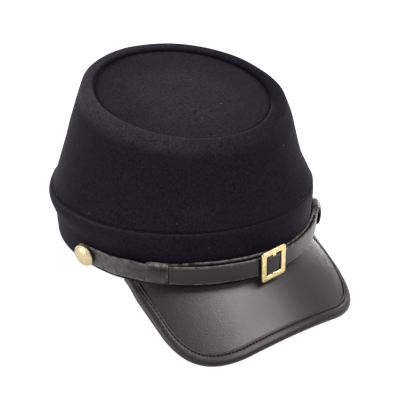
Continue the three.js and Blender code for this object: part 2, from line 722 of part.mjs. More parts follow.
cap.add(
  node("band", pressed(bandGeometry), MATERIALS.wool),
  node("crown_side", crownSide(), MATERIALS.wool),
  top,
  node("peak", peak(), MATERIALS.leather),
  node("peak_binding", pressed(bindingGeometry), MATERIALS.leather),
  node("strap_outer", strapOuter(), MATERIALS.leather),
  node("strap_inner", strapInner(), MATERIALS.leather),
  node("keeper_right", keeper(KEEPER_ANGLE.right), MATERIALS.leather),
  node("keeper_left", keeper(KEEPER_ANGLE.left), MATERIALS.leather),
  node("buckle", buckle(), MATERIALS.brass),
  node("button_right", button(-BUTTON_ANGLE), MATERIALS.brass),
  node("button_left", button(BUTTON_ANGLE), MATERIALS.brass),
);

// The origin lies under the middle of the whole cap, on the surface that it rests on.
const middle = new THREE.Box3().setFromObject(cap, true).getCenter(new THREE.Vector3());
cap.position.x -= middle.x;
cap.position.y -= middle.y;

const kepi = new THREE.Group();
kepi.name = "kepi";
kepi.add(cap);

export default kepi;
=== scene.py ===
import math
from functools import partial

import bmesh
import bpy
from mathutils import Matrix, Vector, noise


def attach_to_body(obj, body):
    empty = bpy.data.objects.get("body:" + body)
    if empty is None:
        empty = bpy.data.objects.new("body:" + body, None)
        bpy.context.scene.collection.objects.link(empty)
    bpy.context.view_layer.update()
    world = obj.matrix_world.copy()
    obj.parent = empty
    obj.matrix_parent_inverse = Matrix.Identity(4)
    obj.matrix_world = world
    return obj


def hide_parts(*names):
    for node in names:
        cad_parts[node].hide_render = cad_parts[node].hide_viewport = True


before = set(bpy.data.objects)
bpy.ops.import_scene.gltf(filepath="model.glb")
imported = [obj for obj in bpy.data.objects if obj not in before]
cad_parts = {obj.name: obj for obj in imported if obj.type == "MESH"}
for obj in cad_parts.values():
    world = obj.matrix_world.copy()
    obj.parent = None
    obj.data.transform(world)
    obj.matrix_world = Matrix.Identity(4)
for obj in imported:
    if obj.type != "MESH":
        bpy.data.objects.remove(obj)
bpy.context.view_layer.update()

# The cap's own frame: millimetres, the band's bottom edge in the plane of X and Y, the front towards -Y.
# At rest the cap tips back onto the corners of its peak and the back of its band.
MM = 0.001
REST_TIP = math.radians(10.555768)
REST_PLACE = Vector((-1.32727, 15.63997, 17.25286))
REST_TURN = Matrix.Rotation(-REST_TIP, 4, "X")
CAP_TO_ROW = Matrix.Scale(MM, 4) @ Matrix.Translation(REST_PLACE) @ REST_TURN

# Sizes of the wool
HALF_WIDTH = 91
HALF_LENGTH = 98
BAND_HEIGHT = 37.6
SEAM_RISE_AT_FRONT = 4.1
WOOL = 2.2
GAP = 0.3
TOP_RADIUS = 63
TOP_CENTRE = Vector((0, -6.5, 105.2))
TOP_TILT = math.radians(12)
TOP_THICKNESS = 2
RIM_ROLL = 5.05
RIM_ABOVE_TOP = 4.2
TOP_TUCK = 0.5
RIM_START = math.radians(22)
RIM_TAIL = 1.7
RIM_SIDE = 2.6
RIM_BACK_LOW = 0.6
CROWN_FOOT_FLARE = 4
SIDE_TURN = math.radians(-32)
SIDE_WIDTH = math.radians(80)

# Sizes of the peak and its binding
PEAK_END = math.radians(62)
PEAK_CORNER_X = 76.4
PEAK_FRONT_Y = -133.8
PEAK_FRONT_SAG = 11.8
PEAK_CORNER_REACH = 35
PEAK_SLOPE = math.radians(30)
PEAK_ARCH = 21.2
PEAK_LEATHER = 2
PEAK_ROOT_DROP = 1.4
PEAK_TUCK = 2.6
PEAK_SIDEWAYS = 1.2
PEAK_TAIL = 0.012
PEAK_END_PULL = {"in": 1.8, "share": 0.05}
BINDING_WIDTH = 7.3

# Sizes of the chin strap and its metal
STRAP_WIDTH = 14.4
STRAP_LEATHER = 1.5
STRAP_LAYER_GAP = 1.2
KEEPER_LEATHER = 1
KEEPER_LENGTH = 14.5
KEEPER_OFF_BAND = 0.5
KEEPER_ANGLE = {"right": -46, "left": 51}
BUTTON_ANGLE = 80.5
BUTTON_RADIUS = 8.2
BUTTON_STAND = 1.1
BUTTON_TURN = math.radians(8)
BUCKLE_ANGLE = 1.4
BUCKLE_TURN = math.radians(5.5)
BUCKLE_RISE = 0.5
BUCKLE_WIDTH = 21.2
BUCKLE_HEIGHT = 24.6
BUCKLE_SIDE_BAR = 4
BUCKLE_DEPTH = 1.8
CENTRE_BAR = {"width": 2.4, "depth": 1.4}
STRAP_BULGE = 1.6
STRAP_OFF_BAND = 0.7
UNDER_BUTTON = STRAP_OFF_BAND + STRAP_LEATHER / 2
INNER_LAYER = KEEPER_OFF_BAND + KEEPER_LEATHER + GAP + STRAP_LEATHER / 2
OUTER_LAYER = INNER_LAYER + STRAP_LEATHER + STRAP_LAYER_GAP
MM_PER_DEGREE = (HALF_WIDTH + HALF_LENGTH) / 2 * math.pi / 180
KEEPER_HALF_ANGLE = KEEPER_LENGTH / 2 / MM_PER_DEGREE

sin, cos, pi = math.sin, math.cos, math.pi


def mix(a, b, share):
    return a + (b - a) * share


def smooth(x, low, high):
    share = min(max((x - low) / (high - low), 0), 1)
    return share * share * (3 - 2 * share)


def within(x, span):
    """How far x has come through a span, smoothly: 0 before it and 1 past it."""
    return smooth(x, span["from"], span["to"])


def spread(first, last, count):
    """Numbers from first to last in equal steps, both ends among them."""
    return [mix(first, last, i / (count - 1)) for i in range(count)]


def through(rows, knot, column):
    """A smooth curve through one column of a table's rows."""
    xs = [row[knot] for row in rows]
    ys = [row[column] for row in rows]
    last = len(rows) - 1
    ends = [(max(i - 1, 0), min(i + 1, last)) for i in range(last + 1)]
    slopes = [(ys[b] - ys[a]) / (xs[b] - xs[a]) for a, b in ends]

    def value(x):
        i = 0
        while i < last - 1 and x > xs[i + 1]:
            i += 1
        span = xs[i + 1] - xs[i]
        t = min(max((x - xs[i]) / span, 0), 1)
        bend = t * t * (3 - 2 * t)
        rise = span * (slopes[i] * t * (1 - t) ** 2 - slopes[i + 1] * t * t * (1 - t))
        return mix(ys[i], ys[i + 1], bend) + rise

    return value


def unevenness(point, swells):
    """The soft unevenness of a hand-made piece, from a table of swells by size and height."""
    return sum(swell["high"] * noise.noise(point / swell["size"]) for swell in swells)


# Meshes

WELD = 1e-3


def lattice(columns, rows, place, lie):
    """A net of faces. place gives a corner's point, and its wear and painted light and shade, from its share
    across and its row, and lie its place on the flat material, in millimetres."""
    bm = bmesh.new()
    bmesh.ops.create_grid(bm, x_segments=columns, y_segments=rows, size=1)
    worn_and_painted_light = bm.verts.layers.float.new("worn_and_painted_light")
    flat = bm.loops.layers.uv.new("lie")
    corner = {}
    for v in bm.verts:
        corner[v] = (round((v.co.x + 1) / 2 * columns), round((v.co.y + 1) / 2 * rows))
    for face in bm.faces:
        for loop in face.loops:
            column, row = corner[loop.vert]
            loop[flat].uv = Vector(lie(column / columns, row)) * MM
    for v, (column, row) in corner.items():
        v.co, v[worn_and_painted_light] = place(column / columns, row)
    bmesh.ops.remove_doubles(bm, verts=bm.verts, dist=WELD)
    return bm


def close_ends(bm):
    """Faces over the two open ends of a strip."""
    open_edges = [edge for edge in bm.edges if edge.is_boundary]
    bmesh.ops.holes_fill(bm, edges=open_edges, sides=0)


SHARP = math.radians(48)


def finish_piece(name, bm, material, slot, *nodes):
    """The mesh in its place at rest, pressed flat where the surface bears it, in the stead of its nodes."""
    bmesh.ops.recalc_face_normals(bm, faces=bm.faces)
    bmesh.ops.transform(bm, matrix=CAP_TO_ROW, verts=bm.verts)
    for v in bm.verts:
        v.co.z = max(v.co.z, 0)
    mesh = bpy.data.meshes.new(name)
    bm.to_mesh(mesh)
    bm.free()
    mesh.shade_smooth()
    mesh.set_sharp_from_angle(angle=SHARP)
    mesh.materials.append(material)
    piece = bpy.data.objects.new(name, mesh)
    bpy.context.scene.collection.objects.link(piece)
    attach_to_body(piece, "root")
    if nodes:
        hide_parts(*nodes)


# Shader nodes


def put(tree, kind, settings=(), **sockets):
    """A node with its settings, each named socket set to a value or joined to another node's output."""
    node = tree.nodes.new(kind)
    for key, value in dict(settings).items():
        setattr(node, key, value)
    for key, value in sockets.items():
        join(tree, node.inputs[key.replace("_", " ")], value)
    return node


def join(tree, socket, value):
    if isinstance(value, bpy.types.NodeSocket):
        tree.links.new(value, socket)
    else:
        socket.default_value = value


def calc(tree, operation, *values):
    node = tree.nodes.new("ShaderNodeMath")
    node.operation = operation
    for socket, value in zip(node.inputs, values):
        join(tree, socket, value)
    return node.outputs[0]


COLOUR_FACTOR, COLOUR_A, COLOUR_B, COLOUR_RESULT = 0, 6, 7, 2


def tint(tree, share, first, second):
    node = tree.nodes.new("ShaderNodeMix")
    node.data_type = "RGBA"
    join(tree, node.inputs[COLOUR_FACTOR], share)
    join(tree, node.inputs[COLOUR_A], first)
    join(tree, node.inputs[COLOUR_B], second)
    return node.outputs[COLOUR_RESULT]


def ranged(tree, value, span, low=0.0, high=1.0):
    limits = {"From_Min": span["from"], "From_Max": span["to"], "To_Min": low, "To_Max": high}
    return put(tree, "ShaderNodeMapRange", {"clamp": True}, Value=value, **limits).outputs["Result"]


def grained(tree, where, scale, detail=3.0, roughness=0.55):
    node = put(tree, "ShaderNodeTexNoise", Vector=where, Scale=scale, Detail=detail, Roughness=roughness)
    return node.outputs["Fac"]


def new_group(name, inputs, outputs):
    tree = bpy.data.node_groups.new(name, "ShaderNodeTree")
    for label, kind, value in inputs:
        socket = tree.interface.new_socket(name=label, in_out="INPUT", socket_type="NodeSocket" + kind)
        socket.default_value = value
    for label, kind in outputs:
        tree.interface.new_socket(name=label, in_out="OUTPUT", socket_type="NodeSocket" + kind)
    return tree, tree.nodes.new("NodeGroupInput").outputs, tree.nodes.new("NodeGroupOutput").inputs


def placed(tree, group, **sockets):
    node = tree.nodes.new("ShaderNodeGroup")
    node.node_tree = group
    for key, value in sockets.items():
        join(tree, node.inputs[key.replace("_", " ")], value)
    return node.outputs


def new_material(name, **constants):
    """A material with one Principled shader, whose even values are set on its own sockets."""
    material = bpy.data.materials.new(name)
    material.use_nodes = True
    tree = material.node_tree
    shader = tree.nodes["Principled BSDF"]
    for key, value in constants.items():
        shader.inputs[key.replace("_", " ")].default_value = value
    return material, tree, shader.inputs


def bumped(tree, inputs, height, strength, distance):
    node = put(tree, "ShaderNodeBump", Strength=strength, Distance=distance, Height=height)
    tree.links.new(node.outputs["Normal"], inputs["Normal"])


def object_place(tree):
    return tree.nodes.new("ShaderNodeTexCoord").outputs["Object"]


def wear_and_painted_light_of(tree):
    return put(tree, "ShaderNodeAttribute", {"attribute_name": "worn_and_painted_light"}).outputs["Fac"]


def flat_place(tree):
    return put(tree, "ShaderNodeUVMap", {"uv_map": "lie"}).outputs["UV"]


# The felted nap of the wool: broad patches, clumps, small tufts and short upright fibres, some of them
# brown, with a few pale bits of lint. Counts are for each metre of cloth.
NAP_LAYERS = [
    {"count": 34, "roughness": 0.55, "weight": 0.12},
    {"count": 300, "roughness": 0.6, "weight": 0.15},
    {"count": 760, "roughness": 0.7, "weight": 0.5},
]
UPRIGHT_FIBRES = {"count": (1100, 330, 1), "roughness": 0.6, "weight": 0.45}
NAP_DETAIL = 3
NAP_MEAN = 0.5
FELT_TONES = {"from": 0.3, "to": 0.7}
RUBBED_AND_LIT_TONES = {"from": 0.3, "to": 0.74}
BROWN_FIBRES = {"count": 520, "detail": 2, "from": 0.5, "to": 0.75, "most": 0.5}
LINT = {"count": 120, "size": 0.05, "left_out": 0.78, "share": 0.38, "colour": (0.2, 0.18, 0.18, 1)}


def wool_nap():
    tree, into, out = new_group(
        "wool_nap",
        [
            ("Wear", "Float", 0.0),
            ("Dark", "Color", (0, 0, 0, 1)),
            ("Light", "Color", (1, 1, 1, 1)),
            ("Brown", "Color", (0.5, 0.5, 0.5, 1)),
            ("Rubbed", "Color", (1, 1, 1, 1)),
        ],
        [("Colour", "Color"), ("Height", "Float")],
    )
    where = object_place(tree)
    layers = [(row, grained(tree, where, row["count"], NAP_DETAIL, row["roughness"])) for row in NAP_LAYERS]
    upright = put(tree, "ShaderNodeMapping", Vector=flat_place(tree), Scale=UPRIGHT_FIBRES["count"])
    fibres = grained(tree, upright.outputs["Vector"], 1.0, NAP_DETAIL, UPRIGHT_FIBRES["roughness"])
    felt = NAP_MEAN
    for row, height in layers + [(UPRIGHT_FIBRES, fibres)]:
        felt = calc(tree, "MULTIPLY_ADD", calc(tree, "SUBTRACT", height, NAP_MEAN), row["weight"], felt)
    plain = tint(tree, ranged(tree, felt, FELT_TONES), into["Dark"], into["Light"])
    brown = grained(tree, where, BROWN_FIBRES["count"], BROWN_FIBRES["detail"])
    brown_share = ranged(tree, brown, BROWN_FIBRES, high=BROWN_FIBRES["most"])
    flecked = tint(tree, brown_share, plain, into["Brown"])
    # Above 0 the wear input paints the nap pale, for rubbed nap and painted light, and below 0 it paints the
    # cloth dark, for painted shade.
    wear_and_painted_light = calc(tree, "MAXIMUM", into["Wear"], 0.0)
    raised_and_lit = calc(tree, "MULTIPLY", wear_and_painted_light, ranged(tree, felt, RUBBED_AND_LIT_TONES))
    painted_shade = calc(tree, "MAXIMUM", calc(tree, "MULTIPLY", into["Wear"], -1.0), 0.0)
    cloth = tint(tree, painted_shade, tint(tree, raised_and_lit, flecked, into["Rubbed"]), into["Dark"])
    cells = put(tree, "ShaderNodeTexVoronoi", Vector=where, Scale=LINT["count"])
    near = calc(tree, "LESS_THAN", cells.outputs["Distance"], LINT["size"])
    picked = put(tree, "ShaderNodeSeparateColor", Color=cells.outputs["Color"]).outputs["Red"]
    few = calc(tree, "MULTIPLY", near, calc(tree, "GREATER_THAN", picked, LINT["left_out"]))
    lint_share = calc(tree, "MULTIPLY", few, LINT["share"])
    join(tree, out["Colour"], tint(tree, lint_share, cloth, LINT["colour"]))
    join(tree, out["Height"], felt)
    return tree


# The grain of black leather: small pebbles drawn out of true and broken by pores, with broad patches of
# duller polish and a ragged edge to its wear and painted light. Counts are for each metre of leather.
DRAWN = {"count": 260, "detail": 2, "by": 0.0016}
PEBBLE_DEPTH = 0.7
PORES = {"count": 2600, "depth": 0.45}
POLISH_PATCHES = {"count": 42, "detail": 4, "roughness": 0.6, "from": 0.3, "to": 0.7}
RAGGED_WEAR_AND_LIGHT = {"count": 300, "from": 0.3, "to": 0.62}


def leather_grain():
    tree, into, out = new_group(
        "leather_grain",
        [("Pebble", "Float", 900.0), ("Wear", "Float", 0.0)],
        [("Height", "Float"), ("Patches", "Float"), ("Wear", "Float")],
    )
    where = object_place(tree)
    bend = put(tree, "ShaderNodeTexNoise", Vector=where, Scale=DRAWN["count"], Detail=DRAWN["detail"])
    drawn = put(tree, "ShaderNodeVectorMath", {"operation": "MULTIPLY_ADD"})
    for socket, value in zip(drawn.inputs, (bend.outputs["Color"], (DRAWN["by"],) * 3, where)):
        join(tree, socket, value)
    spots = {"Vector": drawn.outputs["Vector"], "Scale": into["Pebble"]}
    pebbles = put(tree, "ShaderNodeTexVoronoi", {"feature": "SMOOTH_F1"}, **spots)
    pebbled = calc(tree, "MULTIPLY", pebbles.outputs["Distance"], PEBBLE_DEPTH)
    pores = grained(tree, where, PORES["count"])
    ragged = ranged(tree, grained(tree, where, RAGGED_WEAR_AND_LIGHT["count"]), RAGGED_WEAR_AND_LIGHT)
    patches = POLISH_PATCHES
    polish = grained(tree, where, patches["count"], patches["detail"], patches["roughness"])
    join(tree, out["Height"], calc(tree, "MULTIPLY_ADD", pores, PORES["depth"], pebbled))
    join(tree, out["Patches"], polish)
    join(tree, out["Wear"], calc(tree, "MULTIPLY", into["Wear"], ragged))
    return tree


WOOL_NAP = wool_nap()
LEATHER_GRAIN = leather_grain()

# How far each finish stands up from its surface, in metres, and how strongly it shows
NAP_BUMP = {"strength": 0.4, "distance": 0.0006}
GRAIN_BUMP = {"strength": 0.32, "distance": 0.0003}
BRUSHED_BUMP = {"strength": 0.25, "distance": 0.0003}
TWIST_BUMP = {"strength": 0.4, "distance": 0.0002}


def wool_material():
    material, tree, inputs = new_material(
        "navy_wool",
        Roughness=0.92,
        Specular_IOR_Level=0.03,
        Sheen_Weight=0.095,
        Sheen_Roughness=0.35,
        Sheen_Tint=(0.78, 0.74, 0.86, 1),
    )
    cloth = placed(
        tree,
        WOOL_NAP,
        Wear=wear_and_painted_light_of(tree),
        Dark=(0.0018, 0.0013, 0.003, 1),
        Light=(0.0103, 0.0086, 0.0151, 1),
        Brown=(0.0105, 0.0081, 0.0084, 1),
        Rubbed=(0.0335, 0.0305, 0.0415, 1),
    )
    join(tree, inputs["Base Color"], cloth["Colour"])
    bumped(tree, inputs, cloth["Height"], **NAP_BUMP)
    return material


def leather_material(name, pebble, dark, worn_and_painted_light, polish, **constants):
    """Black leather: polish is the roughness where it is brightest and where it is dullest."""
    material, tree, inputs = new_material(name, **constants)
    grain = placed(tree, LEATHER_GRAIN, Pebble=pebble, Wear=wear_and_painted_light_of(tree))
    # The pale colour paints rubbed wear together with painted highlights and painted reflections.
    join(tree, inputs["Base Color"], tint(tree, grain["Wear"], dark, worn_and_painted_light))
    join(tree, inputs["Roughness"], ranged(tree, grain["Patches"], POLISH_PATCHES, *polish))
    bumped(tree, inputs, grain["Height"], **GRAIN_BUMP)
    return material


BRUSHED = {"turn": (0.3, 0.9, 0.6), "count": (260, 2600, 2600), "weight": 0.5}
BRASS_SPOTS = {"count": 420, "detail": 4, "roughness": 0.6, "weight": 0.5}
BRASS_TONES = {"from": 0.42, "to": 0.62}
BRASS_POLISH = {"from": 0.3, "to": 0.7, "brightest": 0.3, "dullest": 0.46}


def brass_material(name, clean, dull, edge):
    """Pale brass, dulled by fine brushed strokes and small spots."""
    material, tree, inputs = new_material(name, Metallic=1.0)
    where = object_place(tree)
    lie = put(tree, "ShaderNodeMapping", Vector=where, Rotation=BRUSHED["turn"], Scale=BRUSHED["count"])
    strokes = grained(tree, lie.outputs["Vector"], 1.0)
    spots = grained(tree, where, BRASS_SPOTS["count"], BRASS_SPOTS["detail"], BRASS_SPOTS["roughness"])
    spotted = calc(tree, "MULTIPLY", spots, BRASS_SPOTS["weight"])
    dulled = calc(tree, "MULTIPLY_ADD", strokes, BRUSHED["weight"], spotted)
    brass = tint(tree, ranged(tree, dulled, BRASS_TONES), clean, dull)
    polish = ranged(tree, dulled, BRASS_POLISH, BRASS_POLISH["brightest"], BRASS_POLISH["dullest"])
    join(tree, inputs["Base Color"], tint(tree, wear_and_painted_light_of(tree), brass, edge))
    join(tree, inputs["Roughness"], polish)
    bumped(tree, inputs, dulled, **BRUSHED_BUMP)
    return material


TWIST = {"count": 3000, "detail": 2}
THREAD_DARK = (0.0015, 0.0015, 0.0015, 1)
THREAD_LIGHT = (0.006, 0.0055, 0.0055, 1)


def thread_material():
    material, tree, inputs = new_material("black_thread", Roughness=0.75, Specular_IOR_Level=0.12)
    twist = grained(tree, object_place(tree), TWIST["count"], TWIST["detail"])
    join(tree, inputs["Base Color"], tint(tree, twist, THREAD_DARK, THREAD_LIGHT))
    bumped(tree, inputs, twist, **TWIST_BUMP)
    return material


NAVY_WOOL = wool_material()
PEAK_BLACK = leather_material(
    "peak_leather",
    pebble=1050.0,
    dark=(0.0115, 0.0095, 0.0102, 1),
    worn_and_painted_light=(0.035, 0.03, 0.03, 1),
    polish=(0.36, 0.43),
    Specular_IOR_Level=0.5,
    Specular_Tint=(1, 0.895, 0.945, 1),
)
BINDING_BLACK = leather_material(
    "binding_leather",
    pebble=1050.0,
    dark=(0.0095, 0.008, 0.0082, 1),
    worn_and_painted_light=(0.035, 0.03, 0.03, 1),
    polish=(0.38, 0.46),
    Specular_IOR_Level=0.36,
    Specular_Tint=(1, 0.9, 0.93, 1),
)
STRAP_BLACK = leather_material(
    "strap_leather",
    pebble=1000.0,
    dark=(0.004, 0.0033, 0.0036, 1),
    # The pale colour stands for scuffs and also paints highlights and reflections on the strap and keepers.
    worn_and_painted_light=(0.16, 0.145, 0.142, 1),
    polish=(0.31, 0.41),
    Specular_IOR_Level=0.34,
    Specular_Tint=(1, 0.93, 0.96, 1),
)
BUCKLE_BRASS = brass_material(
    "buckle_brass", clean=(0.87, 0.69, 0.365, 1), dull=(0.58, 0.43, 0.18, 1), edge=(0.55, 0.42, 0.18, 1)
)
BUTTON_BRASS = brass_material(
    "button_brass", clean=(0.56, 0.45, 0.295, 1), dull=(0.45, 0.35, 0.2, 1), edge=(0.36, 0.28, 0.14, 1)
)
BLACK_THREAD = thread_material()

# Shapes that the wool pieces share


def oval(turn, out, height):
    return Vector(((HALF_WIDTH + out) * cos(turn), (HALF_LENGTH + out) * sin(turn), height))


def seam_height(turn):
    return BAND_HEIGHT - SEAM_RISE_AT_FRONT * sin(turn)


def back_share(turn):
    return 0.5 + 0.5 * sin(turn)


def side_share(turn):
    """How fully a turn has the swell of the wearer's left side, where the soft cap leans out."""
    away = abs((turn - SIDE_TURN + pi) % (2 * pi) - pi)
    return 1 - smooth(away, 0, SIDE_WIDTH)


def outward(turn):
    return Vector((cos(turn), sin(turn), 0))


ROUND_COLUMNS = 220
MEAN_GIRTH = pi * (HALF_WIDTH + HALF_LENGTH)
TOP_UP = Vector((0, -sin(TOP_TILT), cos(TOP_TILT)))


def top_ring(turn, radius, height):
    across = Vector((cos(turn), sin(turn) * cos(TOP_TILT), sin(turn) * sin(TOP_TILT)))
    return TOP_CENTRE + across * radius + TOP_UP * height


def rim_point(turn, angle, roll):
    height = RIM_ABOVE_TOP - RIM_ROLL + roll * sin(angle) - RIM_BACK_LOW * back_share(turn)
    swell = RIM_SIDE * side_share(turn) * max(cos(angle), 0)
    return top_ring(turn, TOP_RADIUS + RIM_ROLL + roll * cos(angle) + swell, height)


WALL_SWELLS = [{"size": 46, "high": 0.55}, {"size": 17, "high": 0.22}]


def swollen(point, turn):
    """A wool wall's point with the slow swells and small dimples of soft cloth."""
    return point + outward(turn) * unevenness(point, WALL_SWELLS)


# Wear of the wool: above 0 where its nap is rubbed up pale and painted light makes it paler, and below 0
# where painted shade makes it dark
RUBBED_AND_LIT_MOST = {"turn": math.radians(142), "share": 1.4}
RUBBED_AND_LIT_LEAST = 0.05
WALL_WEAR_AND_LIGHT = 0.12


def rubbed_and_lit_share(turn):
    """How much the nap is rubbed up pale and painted light round the cap, most on the wearer's right, where
    the light falls.
    """
    return mix(RUBBED_AND_LIT_LEAST, RUBBED_AND_LIT_MOST["share"], 0.5 + 0.5 * cos(turn - RUBBED_AND_LIT_MOST["turn"]))


def ring_of_wool(stations, height):
    """A closed ring of wool: the section that the stations give, carried all the way round. A station gives
    a point of the section at any turn, and its wear."""
    stations = stations + stations[:1]
    rows = len(stations) - 1

    def place(share, row):
        at, wear_and_painted_light = stations[row]
        turn = 2 * pi * share
        return at(turn), wear_and_painted_light * rubbed_and_lit_share(turn) if wear_and_painted_light > 0 else wear_and_painted_light

    def lie(share, row):
        return share * MEAN_GIRTH, row / rows * 2 * height

    return lattice(ROUND_COLUMNS, rows, place, lie)


# The band: its wall leans out as it rises, with a soft fold at the back and sides, a turned bottom edge,
# and a top edge that rolls in to the seam
BAND_ROWS = [
    {"share": 0.0, "flare": 0.0, "fold": 0.0, "side": 3.3},
    {"share": 0.18, "flare": 0.5, "fold": 0.0, "side": 3.3},
    {"share": 0.42, "flare": 1.3, "fold": 0.3, "side": 3.1},
    {"share": 0.58, "flare": 2.2, "fold": 0.7, "side": 2.6},
    {"share": 0.7, "flare": 2.8, "fold": -1.2, "side": 2.1},
    {"share": 0.86, "flare": 3.6, "fold": -2.2, "side": 1.5},
    {"share": 1.0, "flare": 3.8, "fold": -0.2, "side": 1.1},
]
BAND_FLARE = through(BAND_ROWS, "share", "flare")
BAND_FOLD = through(BAND_ROWS, "share", "fold")
BAND_SIDE = through(BAND_ROWS, "share", "side")
BAND_WALL_ROWS = 34
HEM_STEPS = 8
SEAM_ROLL = 1.3
SEAM_STEPS = 5
HEM_WEAR = 0.5
# The band is painted paler just under the seam and on its rolled top edge: rubbed nap and painted light.
UNDER_SEAM = {"from": 0.92, "wear_and_painted_light": 0.45}
SEAM_WEAR_AND_LIGHT = 0.9
HEM_SAG = {"deep": 1.5, "degrees": 64, "wide": 14, "power": 4}


def hem_sag(turn):
    """The soft hem hangs a little lower beside the ends of the peak."""
    degrees = math.degrees(math.atan2(cos(turn), -sin(turn)))
    aside = (abs(degrees) - HEM_SAG["degrees"]) / HEM_SAG["wide"]
    return HEM_SAG["deep"] * math.exp(-aside * aside)


def band_wall(turn, share, inset):
    flare = BAND_FLARE(share) - BAND_FOLD(share) * back_share(turn) + BAND_SIDE(share) * side_share(turn)
    sag = hem_sag(turn) * (1 - share) ** HEM_SAG["power"]
    return oval(turn, flare - inset, share * seam_height(turn) - sag)


def band_face(turn, share):
    return swollen(band_wall(turn, share, 0), turn)


def hem(turn, angle):
    """The band's turned bottom edge."""
    half = WOOL / 2
    at = band_wall(turn, 0, half - half * cos(angle))
    at.z += half + half * sin(angle)
    return at


def seam_edge(turn, angle):
    """The band's top edge, rolled in to the seam."""
    inset = SEAM_ROLL * (1 - cos(angle))
    drop = SEAM_ROLL * (1 - sin(angle))
    at = band_wall(turn, 1, inset)
    at.z = seam_height(turn) - drop
    return swollen(at, turn)


def band_stations():
    """From the inside of the hem up the outer wall, over the seam edge and down the inner wall."""
    lowest = WOOL / 2 / BAND_HEIGHT
    highest = 1 - SEAM_ROLL / BAND_HEIGHT
    stations = [(partial(hem, angle=angle), 0.0) for angle in spread(pi, 1.5 * pi, HEM_STEPS)]
    for angle in spread(1.5 * pi, 2 * pi, HEM_STEPS)[1:]:
        stations.append((partial(hem, angle=angle), HEM_WEAR))
    for share in spread(lowest, highest, BAND_WALL_ROWS)[1:]:
        wear_and_painted_light = mix(WALL_WEAR_AND_LIGHT, UNDER_SEAM["wear_and_painted_light"], smooth(share, UNDER_SEAM["from"], highest))
        stations.append((partial(band_face, share=share), wear_and_painted_light))
    for angle in spread(0, pi / 2, SEAM_STEPS)[1:]:
        stations.append((partial(seam_edge, angle=angle), SEAM_WEAR_AND_LIGHT))
    for share in spread(1, lowest, BAND_WALL_ROWS // 2):
        stations.append((partial(band_wall, share=share, inset=WOOL), 0.0))
    return stations


finish_piece("wool_band", ring_of_wool(band_stations(), BAND_HEIGHT), NAVY_WOOL, "wool", "band")

# The crown's side: from the edge that rolls in to the seam, up the hollow front and full back, over the
# rolled rim and down to the top, and back inside
CROWN_ROWS = [
    {"share": 0.0, "hollow": 0.0, "full": -1.0, "side": 1.1},
    {"share": 0.06, "hollow": -0.5, "full": -2.2, "side": 1.0},
    {"share": 0.16, "hollow": 0.1, "full": -2.5, "side": 1.1},
    {"share": 0.3, "hollow": 2.0, "full": -1.8, "side": 1.5},
    {"share": 0.48, "hollow": 2.2, "full": -0.9, "side": 2.0},
    {"share": 0.68, "hollow": 0.8, "full": 0.0, "side": 2.1},
    {"share": 0.86, "hollow": -0.2, "full": 0.2, "side": 2.5},
    {"share": 1.0, "hollow": 0.0, "full": 0.0, "side": 2.41},
]
CROWN_HOLLOW = through(CROWN_ROWS, "share", "hollow")
CROWN_FULL = through(CROWN_ROWS, "share", "full")
CROWN_SIDE = through(CROWN_ROWS, "share", "side")
CROWN_WALL_ROWS = 46
CROWN_HEIGHT = 78
CROWN_ROLL = 1.5
RIM_STEPS = 18
RIM_SWELLS = [{"size": 30, "high": 0.45}, {"size": 12, "high": 0.15}]
# The crown's rolled seam edge and the inside of the rim are painted dark, painted shade in the creases; the
# rim and the top of the wall are painted pale, rubbed nap and painted light.
CROWN_SEAM_SHADE = -0.6
RIM_WEAR_AND_LIGHT = 1
RIM_RUBBED_AND_LIT = {"from": 0.84, "to": 1}
INSIDE_RIM_SHADE = -0.9
INSIDE_RIM = {"from": 0.6 * pi, "to": 0.95 * pi}


def crown_wall(turn, share, inset):
    foot = oval(turn, CROWN_FOOT_FLARE - inset, seam_height(turn))
    rim = rim_point(turn, RIM_START, RIM_ROLL - inset)
    out = CROWN_FULL(share) * back_share(turn) - CROWN_HOLLOW(share) * (1 - back_share(turn))
    lean = (CROWN_SIDE(share) - RIM_SIDE * cos(RIM_START) * share) * side_share(turn)
    return foot.lerp(rim, share) + outward(turn) * (out + lean)


def crown_face(turn, share):
    return swollen(crown_wall(turn, share, 0), turn)


def crown_edge(turn, angle):
    """The crown's lower edge, rolled in to the seam."""
    at = crown_wall(turn, 0, CROWN_ROLL * (1 - cos(angle)))
    at.z += CROWN_ROLL * (1 + sin(angle))
    return swollen(at, turn)


def rolled_rim(turn, angle):
    at = rim_point(turn, angle, RIM_ROLL)
    away = (at - rim_point(turn, angle, 0)).normalized()
    return at + away * unevenness(at, RIM_SWELLS)


